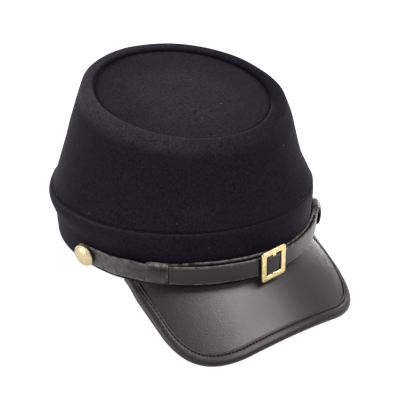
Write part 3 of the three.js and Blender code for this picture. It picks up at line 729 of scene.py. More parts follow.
def crown_stations():
    """From the seam up the outer wall, over the rolled rim, down to the top and back inside."""
    edge = spread(-pi / 2, 0, SEAM_STEPS)
    stations = [(partial(crown_edge, angle=angle), CROWN_SEAM_SHADE) for angle in edge]
    for share in spread(CROWN_ROLL / CROWN_HEIGHT, 1, CROWN_WALL_ROWS)[1:]:
        wear_and_painted_light = mix(WALL_WEAR_AND_LIGHT, RIM_WEAR_AND_LIGHT, within(share, RIM_RUBBED_AND_LIT))
        stations.append((partial(crown_face, share=share), wear_and_painted_light))
    for angle in spread(RIM_START, pi, RIM_STEPS)[1:]:
        wear_and_painted_light = mix(RIM_WEAR_AND_LIGHT, INSIDE_RIM_SHADE, within(angle, INSIDE_RIM))
        stations.append((partial(rolled_rim, angle=angle), wear_and_painted_light))
    tail = RIM_ABOVE_TOP - RIM_ROLL - RIM_TAIL
    stations.append((partial(top_ring, radius=TOP_RADIUS, height=tail), INSIDE_RIM_SHADE))
    stations.append((partial(top_ring, radius=TOP_RADIUS + WOOL, height=tail), 0.0))
    for angle in spread(pi, RIM_START, RIM_STEPS // 2):
        stations.append((partial(rim_point, angle=angle, roll=RIM_ROLL - WOOL), 0.0))
    for share in spread(1, 0, CROWN_WALL_ROWS // 2)[1:]:
        stations.append((partial(crown_wall, share=share, inset=WOOL), 0.0))
    return stations


finish_piece("wool_crown", ring_of_wool(crown_stations(), CROWN_HEIGHT), NAVY_WOOL, "wool", "crown_side")

# The round top: a soft disc, a little dished, that sits down inside the rim
TOP_ROWS = [
    {"share": 0.0, "dish": 0.9},
    {"share": 0.45, "dish": 0.8},
    {"share": 0.8, "dish": 0.35},
    {"share": 1.0, "dish": 0.0},
]
TOP_DISH = through(TOP_ROWS, "share", "dish")
TOP_STEPS = 34
TOP_EDGE_STEPS = 5
TOP_SWELLS = [{"size": 34, "high": 0.5}, {"size": 13, "high": 0.2}]
TOP_STEADY = {"from": 0.9, "to": 1}
TOP_LIGHT_AND_SHADE = {"middle": 0.77, "outer": 0.42, "edge": -0.6}
TOP_OUTER = {"from": 0.3, "to": 0.9}
TOP_EDGE = {"from": 0.94, "to": 1}


def top_light_and_shade(share):
    """Painted light, palest in the middle of the top, and painted shade, dark where it meets the rim."""
    rubbed_and_lit = mix(TOP_LIGHT_AND_SHADE["middle"], TOP_LIGHT_AND_SHADE["outer"], within(share, TOP_OUTER))
    return mix(rubbed_and_lit, TOP_LIGHT_AND_SHADE["edge"], within(share, TOP_EDGE))


def wool_top():
    edge = TOP_RADIUS + TOP_TUCK
    roll = TOP_THICKNESS / 2
    shares = spread(0, 1 - roll / edge, TOP_STEPS)
    section = [(edge * share, -TOP_DISH(share) - TOP_THICKNESS) for share in shares]
    for angle in spread(-pi / 2, pi / 2, 2 * TOP_EDGE_STEPS)[1:-1]:
        section.append((edge - roll + roll * cos(angle), roll * sin(angle) - roll))
    section += [(edge * share, -TOP_DISH(share)) for share in reversed(shares)]

    def place(share, row):
        radius, height = section[row]
        at = top_ring(2 * pi * share, radius, height)
        inner = 1 - within(radius / edge, TOP_STEADY)
        return at + TOP_UP * unevenness(at, TOP_SWELLS) * inner, top_light_and_shade(radius / edge)

    def lie(share, row):
        radius = section[row][0]
        return radius * cos(2 * pi * share), radius * sin(2 * pi * share)

    return lattice(ROUND_COLUMNS, len(section) - 1, place, lie)


finish_piece("wool_top", wool_top(), NAVY_WOOL, "wool", "crown_top")

# The peak's outline in plan: straight sides, rounded corners and a gently bowed front
PLAN_STEPS = 80


def bow(first, bend, last):
    points = []
    for t in spread(0, 1, PLAN_STEPS):
        points.append(first * (1 - t) ** 2 + bend * (2 * t * (1 - t)) + last * t * t)
    return points


def peak_plan():
    attach = oval(PEAK_END - pi / 2, 0, 0).to_2d()
    corner = Vector((PEAK_CORNER_X, PEAK_FRONT_Y + PEAK_FRONT_SAG))
    side_end = corner + (attach - corner).normalized() * PEAK_CORNER_REACH
    front_x = PEAK_CORNER_X - PEAK_CORNER_REACH
    front = Vector((front_x, PEAK_FRONT_Y + PEAK_FRONT_SAG * (front_x / PEAK_CORNER_X) ** 2))
    half = [attach.lerp(side_end, t) for t in spread(0, 1, PLAN_STEPS)]
    half += bow(side_end, corner, front)[1:]
    other = [Vector((-p.x, p.y)) for p in reversed(half)]
    middle = bow(front, Vector((0, 2 * PEAK_FRONT_Y - front.y)), other[0])
    return half + middle[1:] + other[1:], attach


PLAN, PEAK_ATTACH = peak_plan()
PLAN_RUN = [0.0]
for before, after in zip(PLAN, PLAN[1:]):
    PLAN_RUN.append(PLAN_RUN[-1] + (after - before).length)
PLAN_LENGTH = PLAN_RUN[-1]


def plan_point(share):
    run = mix(PEAK_TAIL, 1 - PEAK_TAIL, share) * PLAN_LENGTH
    low, high = 0, len(PLAN) - 1
    while high - low > 1:
        half = (low + high) // 2
        low, high = (half, high) if PLAN_RUN[half] <= run else (low, half)
    part = (run - PLAN_RUN[low]) / (PLAN_RUN[high] - PLAN_RUN[low])
    return PLAN[low].lerp(PLAN[high], part)


def peak_edge(share):
    flat = plan_point(share)
    back = PEAK_ATTACH.y
    reach = min(max((back - flat.y) / (back - PEAK_FRONT_Y), 0), 1)
    drop = max(back - flat.y, 0) * math.tan(PEAK_SLOPE)
    arch = PEAK_ARCH * (1 - (flat.x / PEAK_CORNER_X) ** 2) * reach
    near_end = 1 - smooth(min(share, 1 - share), 0, PEAK_END_PULL["share"])
    pull = math.copysign(PEAK_END_PULL["in"] * near_end, flat.x)
    return Vector((flat.x - pull + PEAK_SIDEWAYS * reach, flat.y, arch - drop - PEAK_ROOT_DROP))


def peak_root(share):
    return oval(mix(PEAK_END, -PEAK_END, share) - pi / 2, -PEAK_TUCK, -PEAK_ROOT_DROP)


def peak_middle(share, down):
    return peak_root(share).lerp(peak_edge(share), down)


# The moulding of the peak: the slope that it takes on at the edge, where it starts on the way down and how
# much of it the wearer's right side has. It grows over these shares of the way from the middle to the
# sides, and with the width of the leather.
MOULDED = {"slope": 0.24, "start": 0.45, "right": 0.2}
MOULDED_ASIDE = {"from": 0.2, "to": 0.8}
MOULDED_WIDTH = {"from": 12, "to": 40}


def fullness(share, down):
    """How far the leather is moulded up from a straight fall, so that it bends down towards the sides of the
    peak, mostly on the wearer's left."""
    width = (peak_edge(share) - peak_root(share)).length
    aside = within(abs(2 * share - 1), MOULDED_ASIDE) * within(width, MOULDED_WIDTH)
    aside *= 1 if share < 0.5 else MOULDED["right"]
    bent = 1 - MOULDED["start"]
    bend = max(down - MOULDED["start"], 0) / bent
    begun = smooth(down, 0, MOULDED["start"])
    return aside * MOULDED["slope"] * width * bent / 2 * (1 - bend**2) * begun


NORMAL_STEP = 0.004
ROOT_SAMPLE = 0.05


def peak_normal(share, down):
    down = max(down, ROOT_SAMPLE)
    before = peak_middle(max(share - NORMAL_STEP, 0), down)
    after = peak_middle(min(share + NORMAL_STEP, 1), down)
    fall = peak_edge(share) - peak_root(share)
    return (after - before).cross(fall).normalized()


PEAK_COLUMNS = 150
PEAK_TOP_ROWS = 26
PEAK_UNDER_ROWS = 12
PEAK_SWELLS = [{"size": 38, "high": 0.8}]
PEAK_FLAT_DEPTH = 60


def leather_peak():
    half = PEAK_LEATHER / 2
    section = [(down, 1) for down in spread(0, 1, PEAK_TOP_ROWS)]
    section += [(down, -1) for down in spread(1, 0, PEAK_UNDER_ROWS)]
    section.append(section[0])

    def place(share, row):
        down, side = section[row]
        at = peak_middle(share, down)
        uneven = unevenness(at, PEAK_SWELLS) * down * (1 - down)
        return at + peak_normal(share, down) * (side * half + uneven + fullness(share, down)), 0.0

    def lie(share, row):
        return share * PLAN_LENGTH, section[row][0] * PEAK_FLAT_DEPTH

    bm = lattice(PEAK_COLUMNS, len(section) - 1, place, lie)
    close_ends(bm)
    return bm


finish_piece("leather_peak", leather_peak(), PEAK_BLACK, "peak_leather", "peak")

# The binding: a strip folded over the peak's edge, plump there, with a thin lip beyond its sewn groove.
# Its section is read in from the edge of the peak and off the middle of the peak's leather.
BINDING_FACE = [
    {"inward": 7.3, "off": 1.3},
    {"inward": 7.3, "off": 1.5},
    {"inward": 7.15, "off": 1.65},
    {"inward": 6.7, "off": 1.75},
    {"inward": 6.1, "off": 1.75},
    {"inward": 5.9, "off": 1.65},
    {"inward": 5.75, "off": 1.45},
    {"inward": 5.45, "off": 1.45},
    {"inward": 5.3, "off": 1.65},
    {"inward": 5.0, "off": 1.85},
    {"inward": 4.2, "off": 2.02},
    {"inward": 3.2, "off": 2.15},
    {"inward": 2.1, "off": 2.25},
    {"inward": 1.0, "off": 2.15},
    {"inward": 0.0, "off": 1.8},
    {"inward": -0.75, "off": 1.3},
    {"inward": -1.2, "off": 0.65},
]
BINDING_NOSE = {"inward": -1.32, "off": 0.0}
GROOVE = {"inward": 5.6, "off": 1.55}
BINDING_ENDS = -0.015
BINDING_SETTLES = {"from": 3, "to": 9}
BINDING_LEAST = BINDING_SETTLES["from"]
BINDING_SUNK = {"drop": 1.2, "share": 0.05}
BINDING_SWELLS = [{"size": 9, "high": 0.05}]
ENDS_STEADY = 0.02
STITCH_PITCH = 2.6
STITCH_ENDS = 0.05
STITCH_COUNT = int(PLAN_LENGTH * (1 - 2 * STITCH_ENDS) / STITCH_PITCH)
COLUMNS_PER_STITCH = 4
PINCH = {"deep": 0.15, "from": 4.6, "to": 5.4}


def binding_section():
    under = [{"inward": p["inward"], "off": -p["off"]} for p in reversed(BINDING_FACE)]
    inner = PEAK_LEATHER / 2 + GAP
    inside = [
        {"inward": BINDING_WIDTH, "off": -inner},
        {"inward": -GAP, "off": -inner},
        {"inward": -GAP, "off": inner},
        {"inward": BINDING_WIDTH, "off": inner},
    ]
    return BINDING_FACE + [BINDING_NOSE] + under + inside


def on_binding(share, inward, off):
    """A point of the binding, which tucks in under the band at the two ends of the peak."""
    edge, root = peak_edge(share), peak_root(share)
    steady = min(max(share, ENDS_STEADY), 1 - ENDS_STEADY)
    normal = peak_normal(steady, 1)
    along = peak_edge(steady + NORMAL_STEP) - peak_edge(steady - NORMAL_STEP)
    inner_way = along.cross(normal).normalized()
    depth = (root - edge).dot(inner_way)
    inset = min(inward, max(depth, BINDING_LEAST))
    at = edge + inner_way * inset
    if depth > BINDING_LEAST:
        way = inner_way.lerp((root - edge) / depth, within(depth, BINDING_SETTLES))
        down = 1 - inset / depth
        normal = peak_normal(steady, min(down, 1))
        full = fullness(share, down)
        fall = (full - fullness(share, down + NORMAL_STEP)) / (NORMAL_STEP * depth)
        at = edge + way * inset + normal * full
        normal = (normal - way * fall).normalized()
    at += normal * off
    near_end = 1 - smooth(min(share, 1 - share), 0, BINDING_SUNK["share"])
    at.z -= BINDING_SUNK["drop"] * near_end
    return at


def pulled(share):
    """How hard the nearest stitch pulls the binding down: 1 at a stitch and 0 between two."""
    along = (share - STITCH_ENDS) / (1 - 2 * STITCH_ENDS) * (STITCH_COUNT - 1)
    return 0.5 + 0.5 * cos(2 * pi * along)


def leather_binding():
    section = binding_section()
    section.append(section[0])

    def place(share, row):
        point = section[row]
        run = mix(BINDING_ENDS, 1 - BINDING_ENDS, share)
        inward, off = point["inward"], point["off"]
        if off > GROOVE["off"]:
            off *= 1 + unevenness(on_binding(run, inward, off), BINDING_SWELLS)
        if PINCH["from"] < inward < PINCH["to"]:
            off -= math.copysign(PINCH["deep"] * pulled(run), off)
        return on_binding(run, inward, off), 0.0

    def lie(share, row):
        return share * PLAN_LENGTH, row

    bm = lattice(STITCH_COUNT * COLUMNS_PER_STITCH, len(section) - 1, place, lie)
    close_ends(bm)
    return bm


finish_piece("leather_binding", leather_binding(), BINDING_BLACK, "peak_leather", "peak_binding")

# The binding's stitches, one by one in its sewn groove, on the upper side and the underside. STITCH is half
# a stitch's length, width and height.
STITCH = Vector((0.85, 0.48, 0.38))
STITCH_ROUND = {"u_segments": 8, "v_segments": 5, "radius": 1}


def binding_stitches():
    bm = bmesh.new()
    for share in spread(STITCH_ENDS, 1 - STITCH_ENDS, STITCH_COUNT):
        for side in (1, -1):
            off = side * GROOVE["off"]
            at = on_binding(share, GROOVE["inward"], off)
            along = (on_binding(share + NORMAL_STEP, GROOVE["inward"], off) - at).normalized()
            across = peak_normal(share, 1).cross(along).normalized()
            turn = Matrix((along, across, along.cross(across))).transposed().to_4x4()
            lie = Matrix.Translation(at) @ turn @ Matrix.Diagonal(STITCH).to_4x4()
            bmesh.ops.create_uvsphere(bm, matrix=lie, **STITCH_ROUND)
    return bm


finish_piece("binding_stitches", binding_stitches(), BLACK_THREAD, None)

# The chin strap's run: by degrees from the front, its height on the band, how much higher its inner layer
# rides there, and how far it stands off slack
STRAP_ROWS = [
    {"degrees": -90, "height": 9.4, "inner": 0.0, "slack": 0.0},
    {"degrees": -68, "height": 10.4, "inner": 0.0, "slack": 0.0},
    {"degrees": -57, "height": 12.5, "inner": 0.0, "slack": 0.0},
    {"degrees": -47, "height": 11.4, "inner": 0.0, "slack": 0.0},
    {"degrees": -41, "height": 11.3, "inner": 0.0, "slack": 0.0},
    {"degrees": -30, "height": 11.2, "inner": 1.7, "slack": 0.1},
    {"degrees": -20, "height": 11.3, "inner": 1.7, "slack": 0.2},
    {"degrees": -8, "height": 10.7, "inner": 1.9, "slack": 0.2},
    {"degrees": 12, "height": 10.4, "inner": 0.3, "slack": 0.0},
    {"degrees": 26, "height": 10.6, "inner": 0.2, "slack": -0.5},
    {"degrees": 40, "height": 11.4, "inner": 0.0, "slack": -0.7},
    {"degrees": 51, "height": 12.0, "inner": 0.0, "slack": 0.1},
    {"degrees": 74, "height": 11.2, "inner": 0.0, "slack": 0.0},
    {"degrees": 90, "height": 11.0, "inner": 0.0, "slack": 0.0},
]


def strap_row(degrees, column):
    last = len(STRAP_ROWS) - 1
    above = next((i for i, row in enumerate(STRAP_ROWS) if row["degrees"] > degrees), last)
    low, high = STRAP_ROWS[max(above, 1) - 1], STRAP_ROWS[max(above, 1)]
    return mix(low[column], high[column], smooth(degrees, low["degrees"], high["degrees"]))


def band_out(turn, height):
    share = height / BAND_HEIGHT
    return BAND_FLARE(share) + BAND_SIDE(share) * side_share(turn)


def strap_frame(degrees, out, rise=0):
    """Where the strap lies at an angle from the front, and its directions: along, up and outward."""
    turn = math.radians(degrees - 90)
    height = strap_row(degrees, "height") + rise
    level = Vector((cos(turn) / HALF_WIDTH, sin(turn) / HALF_LENGTH, 0)).normalized()
    along = Vector((-level.y, level.x, 0))
    half = STRAP_WIDTH / 2
    lean = (band_out(turn, height + half) - band_out(turn, height - half)) / STRAP_WIDTH
    up = (Vector((0, 0, 1)) + level * lean).normalized()
    away = along.cross(up)
    at = oval(turn, band_out(turn, height), height) + away * (out + strap_row(degrees, "slack"))
    return at, along, up, away


def on_strap(degrees, out):
    """The matrix of a piece that is modelled flat: x along the strap, y up it and z outward."""
    at, along, up, away = strap_frame(degrees, out)
    return Matrix.Translation(at) @ Matrix((along, up, away)).transposed().to_4x4()


BUTTON_REST_ANGLE = 5
LEVEL_PAST_KEEPER = 4
LIFT_START = BUTTON_ANGLE - BUTTON_REST_ANGLE
PAST_KEEPER = KEEPER_HALF_ANGLE + LEVEL_PAST_KEEPER
PAST_BUTTON = 4.7
OUTER_END_PAST_KEEPER = 1.5
INNER_END_PAST_KEEPER = -1
BUCKLE_REACH = (BUCKLE_WIDTH / 2 - BUCKLE_SIDE_BAR) / MM_PER_DEGREE
BULGE_FLAT = 0.72


def bulge(degrees):
    """The outer layer rises over the buckle's centre bar."""
    return STRAP_BULGE * (1 - smooth(abs(degrees - BUCKLE_ANGLE) / BUCKLE_REACH, BULGE_FLAT, 1))


def outer_lift(degrees):
    to_button = smooth(-degrees, PAST_KEEPER - KEEPER_ANGLE["right"], LIFT_START)
    return mix(OUTER_LAYER, UNDER_BUTTON, to_button) + bulge(degrees)


def inner_lift(degrees):
    to_button = smooth(degrees, PAST_KEEPER + KEEPER_ANGLE["left"], LIFT_START)
    return mix(INNER_LAYER, UNDER_BUTTON, to_button)


STRAP_EDGE = 0.55
STRAP_EDGE_STEPS = 4
STRAP_FACE_STEPS = 11
STRAP_STEP = 0.3
STRAP_END_ROUND = 5
STRAP_CORNERS = [(1, 1), (1, -1), (-1, -1), (-1, 1)]
STRAP_OUT_SWELLS = [{"size": 21, "high": 0.18}]
STRAP_UP_SWELLS = [{"size": 33, "high": 0.15}]
# The strap's rounded edges are painted pale: rubbed wear and a painted highlight.
RUBBED_AND_LIT_EDGE = {"from": STRAP_WIDTH / 2 - 1.6, "to": STRAP_WIDTH / 2 - 0.4, "wear_and_painted_light": 0.55}
ENDS_SCUFFS_AND_SHEEN = 0.21
PALE_RIGHT_END = {"from": 35, "to": 65}
PALE_LEFT_END = {"from": 8, "to": 30}
CREASE = {"degrees": -55.2, "slant": 0.7, "wide": 0.35, "deep": 0.4, "low": 0.5, "high": 6.0}


def strap_section():
    """The strap's section, from the foot of its outer face up, over the top edge and down the inner face."""
    corner_up = STRAP_WIDTH / 2 - STRAP_EDGE
    corner_out = STRAP_LEATHER / 2 - STRAP_EDGE
    section = [(across, STRAP_LEATHER / 2) for across in spread(-corner_up, corner_up, STRAP_FACE_STEPS)]
    for quarter, (side_up, side_out) in enumerate(STRAP_CORNERS):
        first, last = (pi / 2, 0) if quarter % 2 == 0 else (0, pi / 2)
        for angle in spread(first, last, STRAP_EDGE_STEPS):
            across = side_up * (corner_up + STRAP_EDGE * cos(angle))
            section.append((across, side_out * (corner_out + STRAP_EDGE * sin(angle))))
    return section


def strap_crease(degrees, across):
    """A short slanting crease beside the right keeper."""
    aside = (degrees - CREASE["degrees"] - CREASE["slant"] * across) / CREASE["wide"]
    middle = (CREASE["low"] + CREASE["high"]) / 2
    reach = max(1 - (2 * (across - middle) / (CREASE["high"] - CREASE["low"])) ** 2, 0)
    return CREASE["deep"] * reach * math.exp(-aside * aside)


def no_rise(_):
    return 0


def inner_rise(degrees):
    return strap_row(degrees, "inner")


def strap_scuffs_and_sheen(degrees):
    """The strap is paler towards its two ends: scuffs, and a painted reflection of the light that falls
    there.
    """
    return ENDS_SCUFFS_AND_SHEEN * max(within(-degrees, PALE_RIGHT_END), within(degrees, PALE_LEFT_END))


def leather_strip(first, last, lift, rise):
    section = strap_section()
    section.append(section[0])
    columns = round((last - first) / STRAP_STEP)

    def place(share, row):
        degrees = mix(first, last, share)
        at, _, up, away = strap_frame(degrees, lift(degrees), rise(degrees))
        across, out = section[row]
        if out > 0:
            out -= strap_crease(degrees, across)
        short = max(STRAP_END_ROUND - min(degrees - first, last - degrees) * MM_PER_DEGREE, 0)
        drawn_in = STRAP_END_ROUND - math.sqrt(max(STRAP_END_ROUND**2 - short**2, 0))
        across *= 1 - drawn_in / (STRAP_WIDTH / 2)
        point = at + up * across + away * out
        wear_and_painted_light = max(RUBBED_AND_LIT_EDGE["wear_and_painted_light"] * within(abs(across), RUBBED_AND_LIT_EDGE), strap_scuffs_and_sheen(degrees))
        swell_out = unevenness(point, STRAP_OUT_SWELLS)
        swell_up = unevenness(point, STRAP_UP_SWELLS)
        return point + away * swell_out + up * swell_up, wear_and_painted_light

    def lie(share, row):
        return share * (last - first) * MM_PER_DEGREE, section[row][0]

    bm = lattice(columns, len(section) - 1, place, lie)
    close_ends(bm)
    return bm


outer_first = -BUTTON_ANGLE - PAST_BUTTON
outer_last = KEEPER_ANGLE["left"] + KEEPER_HALF_ANGLE + OUTER_END_PAST_KEEPER
outer_layer = leather_strip(outer_first, outer_last, outer_lift, no_rise)
finish_piece("strap_outer_leather", outer_layer, STRAP_BLACK, "strap_leather", "strap_outer")
inner_first = KEEPER_ANGLE["right"] - KEEPER_HALF_ANGLE - INNER_END_PAST_KEEPER
inner_layer = leather_strip(inner_first, BUTTON_ANGLE + PAST_BUTTON, inner_lift, inner_rise)
finish_piece("strap_inner_leather", inner_layer, STRAP_BLACK, "strap_leather", "strap_inner")

# Boxes with rounded corners, for the keepers and the buckle
CORNER_STEPS = 6
FLAT_STEPS = 7


def rounded_box(width, height, corner):
    """Points round a box, as many for every box: an arc at each corner, then steps along the flat."""
    half = Vector((width / 2 - corner, height / 2 - corner))
    signs = [Vector((1, 1)), Vector((-1, 1)), Vector((-1, -1)), Vector((1, -1))]
    points = []
    for quarter, sign in enumerate(signs):
        for angle in spread(quarter * pi / 2, (quarter + 1) * pi / 2, CORNER_STEPS):
            points.append(half * sign + Vector((cos(angle), sin(angle))) * corner)
        following = half * signs[(quarter + 1) % 4] + (points[-1] - half * sign)
        points += [points[-1].lerp(following, t) for t in spread(0, 1, FLAT_STEPS)[1:-1]]
    return points


# The keepers: leather loops round both layers of the strap, skived thin on the side of the button
KEEPER_ROOM = STRAP_LEATHER * 2 + STRAP_LAYER_GAP + 2 * GAP
KEEPER_MIDDLE = (INNER_LAYER + OUTER_LAYER) / 2
KEEPER_CORNER = 3.3
KEEPER_SNUG = -0.2
KEEPER_EDGE = 0.35
KEEPER_RUN_STEPS = 14
KEEPER_SKIVE = {"length": 3.0, "depth": 0.65}
KEEPER_LOOSE = {"right": 1.1, "left": 1.2}
KEEPER_RUBBED_AND_LIT = {"right": 1.0, "left": 0.35}
KEEPER_CREST = {"from": STRAP_WIDTH / 2 - 0.9, "to": STRAP_WIDTH / 2 + 0.6}
KEEPER_LIP = {"from": KEEPER_LENGTH / 2 - 1.2, "to": KEEPER_LENGTH / 2 - 0.2, "wear_and_painted_light": 0.35}
KEEPER_LIT_FOOT = {"from": -6, "to": 4, "wear_and_painted_light": 0.2}
KEEPER_OUT_RUMPLES = [{"size": 8, "high": 0.25}, {"size": 3, "high": 0.1}]
KEEPER_UP_RUMPLES = [{"size": 11, "high": 0.2}]


def keeper_profile():
    """The section of the keeper's leather: along the strap from the button's side, and in from the face."""
    half = KEEPER_LENGTH / 2
    profile = []
    for along in spread(-half + KEEPER_EDGE, half - KEEPER_EDGE, KEEPER_RUN_STEPS):
        skived = 1 - smooth(along, -half, -half + KEEPER_SKIVE["length"])
        profile.append((along, KEEPER_SKIVE["depth"] * skived))
    profile += [(half, KEEPER_EDGE), (half, KEEPER_LEATHER - KEEPER_EDGE)]
    profile += [(half - KEEPER_EDGE, KEEPER_LEATHER), (-half + KEEPER_EDGE, KEEPER_LEATHER)]
    profile.append((-half, (KEEPER_LEATHER + KEEPER_SKIVE["depth"]) / 2))
    return profile


def keeper(degrees, loose, rubbed_and_lit):
    """A keeper on the strap: loose is how far its face bulges, and rubbed how pale its crest is painted, for
    scuffs and a painted highlight.
    """
    to_buckle = -math.copysign(1, degrees)
    profile = keeper_profile()
    profile.append(profile[0])
    loops = []
    for _, inset in profile:
        deep = KEEPER_ROOM + 2 * (KEEPER_LEATHER - inset)
        wide = STRAP_WIDTH + 2 * (KEEPER_SNUG + KEEPER_LEATHER - inset)
        loops.append(rounded_box(deep, wide, KEEPER_CORNER - inset))
    around = len(loops[0])

    def place(share, row):
        along, inset = profile[row]
        out, up = loops[row][round(share * around) % around]
        at, _, rise, away = strap_frame(degrees + to_buckle * along / MM_PER_DEGREE, KEEPER_MIDDLE)
        if out > 0:
            out += loose * max(1 - (2 * up / STRAP_WIDTH) ** 2, 0)
        point = at + rise * up + away * out
        # The crest is painted pale, scuffs and a painted highlight; the lower part of the loop is painted
        # paler, painted light; the edge on the buckle's side is paler.
        lip = within(along, KEEPER_LIP) if inset < KEEPER_LEATHER / 2 else 0
        foot = 1 - within(up, KEEPER_LIT_FOOT)
        wear_and_painted_light = max(rubbed_and_lit * within(up, KEEPER_CREST), KEEPER_LIP["wear_and_painted_light"] * lip, KEEPER_LIT_FOOT["wear_and_painted_light"] * foot)
        rumple_out = unevenness(point, KEEPER_OUT_RUMPLES)
        rumple_up = unevenness(point, KEEPER_UP_RUMPLES)
        return point + away * rumple_out + rise * rumple_up, wear_and_painted_light

    def lie(share, row):
        return profile[row][0], share * 2 * (STRAP_WIDTH + KEEPER_ROOM)

    return lattice(around, len(profile) - 1, place, lie)


for side, degrees in KEEPER_ANGLE.items():
    loop = keeper(degrees, KEEPER_LOOSE[side], KEEPER_RUBBED_AND_LIT[side])
    finish_piece(f"keeper_{side}_leather", loop, STRAP_BLACK, "strap_leather", f"keeper_{side}")

# The buckle: a square frame with rounded corners and softened edges, and a centre bar behind the strap
OPENING_HEIGHT = 16.2
BUCKLE_CORNER = 2.2
OPENING_CORNER = 0.8
BUCKLE_BEVEL = 0.6
BEVEL_STEPS = 4
BAR_BEVEL = 0.15
LUG_SHORT_OF_EDGE = 2.4
TAB = {"width": 2.6, "into": 1.1, "over": 0.6, "depth": 0.4, "proud": 0.2}


def rounded_section(width, depth, corner):
    """A bar's section with rounded corners, from its outer edge inward and from its back forward."""
    section = []
    for quarter, (inward, rise) in enumerate(((1, 1), (0, 1), (0, 0), (1, 0))):
        middle = (mix(corner, width - corner, inward), mix(corner, depth - corner, rise))
        for angle in spread(quarter * pi / 2, (quarter + 1) * pi / 2, BEVEL_STEPS):
            section.append((middle[0] + corner * cos(angle), middle[1] + corner * sin(angle)))
    return section


def add_block(bm, size, middle):
    """A small bar with softened edges, added to a mesh."""
    lie = Matrix.Translation(middle) @ Matrix.Diagonal(size).to_4x4()
    made = bmesh.ops.create_cube(bm, size=1, matrix=lie)["verts"]
    edges = list({edge for v in made for edge in v.link_edges})
    bmesh.ops.bevel(bm, geom=edges, offset=BAR_BEVEL, segments=2, profile=0.5, affect="EDGES", material=-1)


def slide_buckle():
    outer = rounded_box(BUCKLE_WIDTH, BUCKLE_HEIGHT, BUCKLE_CORNER)
    inner = rounded_box(BUCKLE_WIDTH - 2 * BUCKLE_SIDE_BAR, OPENING_HEIGHT, OPENING_CORNER)
    front = STRAP_LEATHER / 2 + GAP
    section = rounded_section(BUCKLE_SIDE_BAR, BUCKLE_DEPTH, BUCKLE_BEVEL)
    section.append(section[0])

    def place(share, row):
        inward, rise = section[row]
        i = round(share * len(outer)) % len(outer)
        at = outer[i].lerp(inner[i], inward / BUCKLE_SIDE_BAR)
        return Vector((at.x, at.y, front + rise)), 0.0

    def lie(share, row):
        return share * 2 * (BUCKLE_WIDTH + BUCKLE_HEIGHT), section[row][0]

    bm = lattice(len(outer), len(section) - 1, place, lie)
    bar_front = STRAP_BULGE - STRAP_LEATHER / 2 - GAP
    bar_middle = bar_front - CENTRE_BAR["depth"] / 2
    lug = (BUCKLE_HEIGHT - OPENING_HEIGHT) / 2 - LUG_SHORT_OF_EDGE
    bar_length = OPENING_HEIGHT + 2 * lug
    add_block(bm, (CENTRE_BAR["width"], bar_length, CENTRE_BAR["depth"]), (0, 0, bar_middle))
    lug_depth = front + BUCKLE_DEPTH / 2 - bar_front + CENTRE_BAR["depth"]
    lug_middle = bar_front - CENTRE_BAR["depth"] + lug_depth / 2
    lug_from = (OPENING_HEIGHT + lug) / 2
    tab_height = TAB["into"] + TAB["over"]
    tab_from = OPENING_HEIGHT / 2 + (TAB["over"] - TAB["into"]) / 2
    tab_middle = front + BUCKLE_DEPTH + TAB["proud"] - TAB["depth"] / 2
    for side in (1, -1):
        add_block(bm, (CENTRE_BAR["width"], lug, lug_depth), (0, side * lug_from, lug_middle))
        add_block(bm, (TAB["width"], tab_height, TAB["depth"]), (0, side * tab_from, tab_middle))
    risen = Matrix.Translation((0, BUCKLE_RISE, 0))
    askew = on_strap(BUCKLE_ANGLE, OUTER_LAYER) @ risen @ Matrix.Rotation(BUCKLE_TURN, 4, "Z")
    bmesh.ops.transform(bm, matrix=askew, verts=bm.verts)
    return bm


finish_piece("brass_buckle", slide_buckle(), BUCKLE_BRASS, "brass", "buckle")

# The buttons: domed, with a turned rim and a low rosette
BUTTON_ROWS = [
    {"radius": 0.0, "rise": 3.7},
    {"radius": 0.9, "rise": 3.68},
    {"radius": 1.8, "rise": 3.62},
    {"radius": 2.7, "rise": 3.52},
    {"radius": 3.5, "rise": 3.4},
    {"radius": 4.3, "rise": 3.22},
    {"radius": 5.0, "rise": 3.02},
    {"radius": 5.6, "rise": 2.8},
    {"radius": 6.2, "rise": 2.5},
    {"radius": 6.6, "rise": 2.22},
    {"radius": 6.9, "rise": 2.06},
    {"radius": 7.15, "rise": 2.12},
    {"radius": 7.45, "rise": 2.14},
    {"radius": 7.8, "rise": 1.95},
    {"radius": 8.08, "rise": 1.6},
    {"radius": BUTTON_RADIUS, "rise": 1.2},
    {"radius": 8.05, "rise": 0.8},
    {"radius": 7.7, "rise": 0.5},
    {"radius": 4.5, "rise": 0.2},
    {"radius": 2.0, "rise": 0.0},
]
SHANK_RADIUS = 2
BUTTON_STEPS = 96
BUTTON_FACE_FROM = 1.9
ROSETTE = {"petals": 8, "rise": 0.22, "sharpness": 1.5}
PETAL_START = {"from": 1.0, "to": 2.2}
PETAL_END = {"from": 3.8, "to": 5.4}
ROSETTE_HEART = {"from": 0.6, "to": 1.3}
RIM_GROOVE_INNER = {"from": 6.3, "to": 6.9}
RIM_GROOVE_OUTER = {"from": 6.9, "to": 7.3}
RIM_GROOVE_WEAR = 0.5


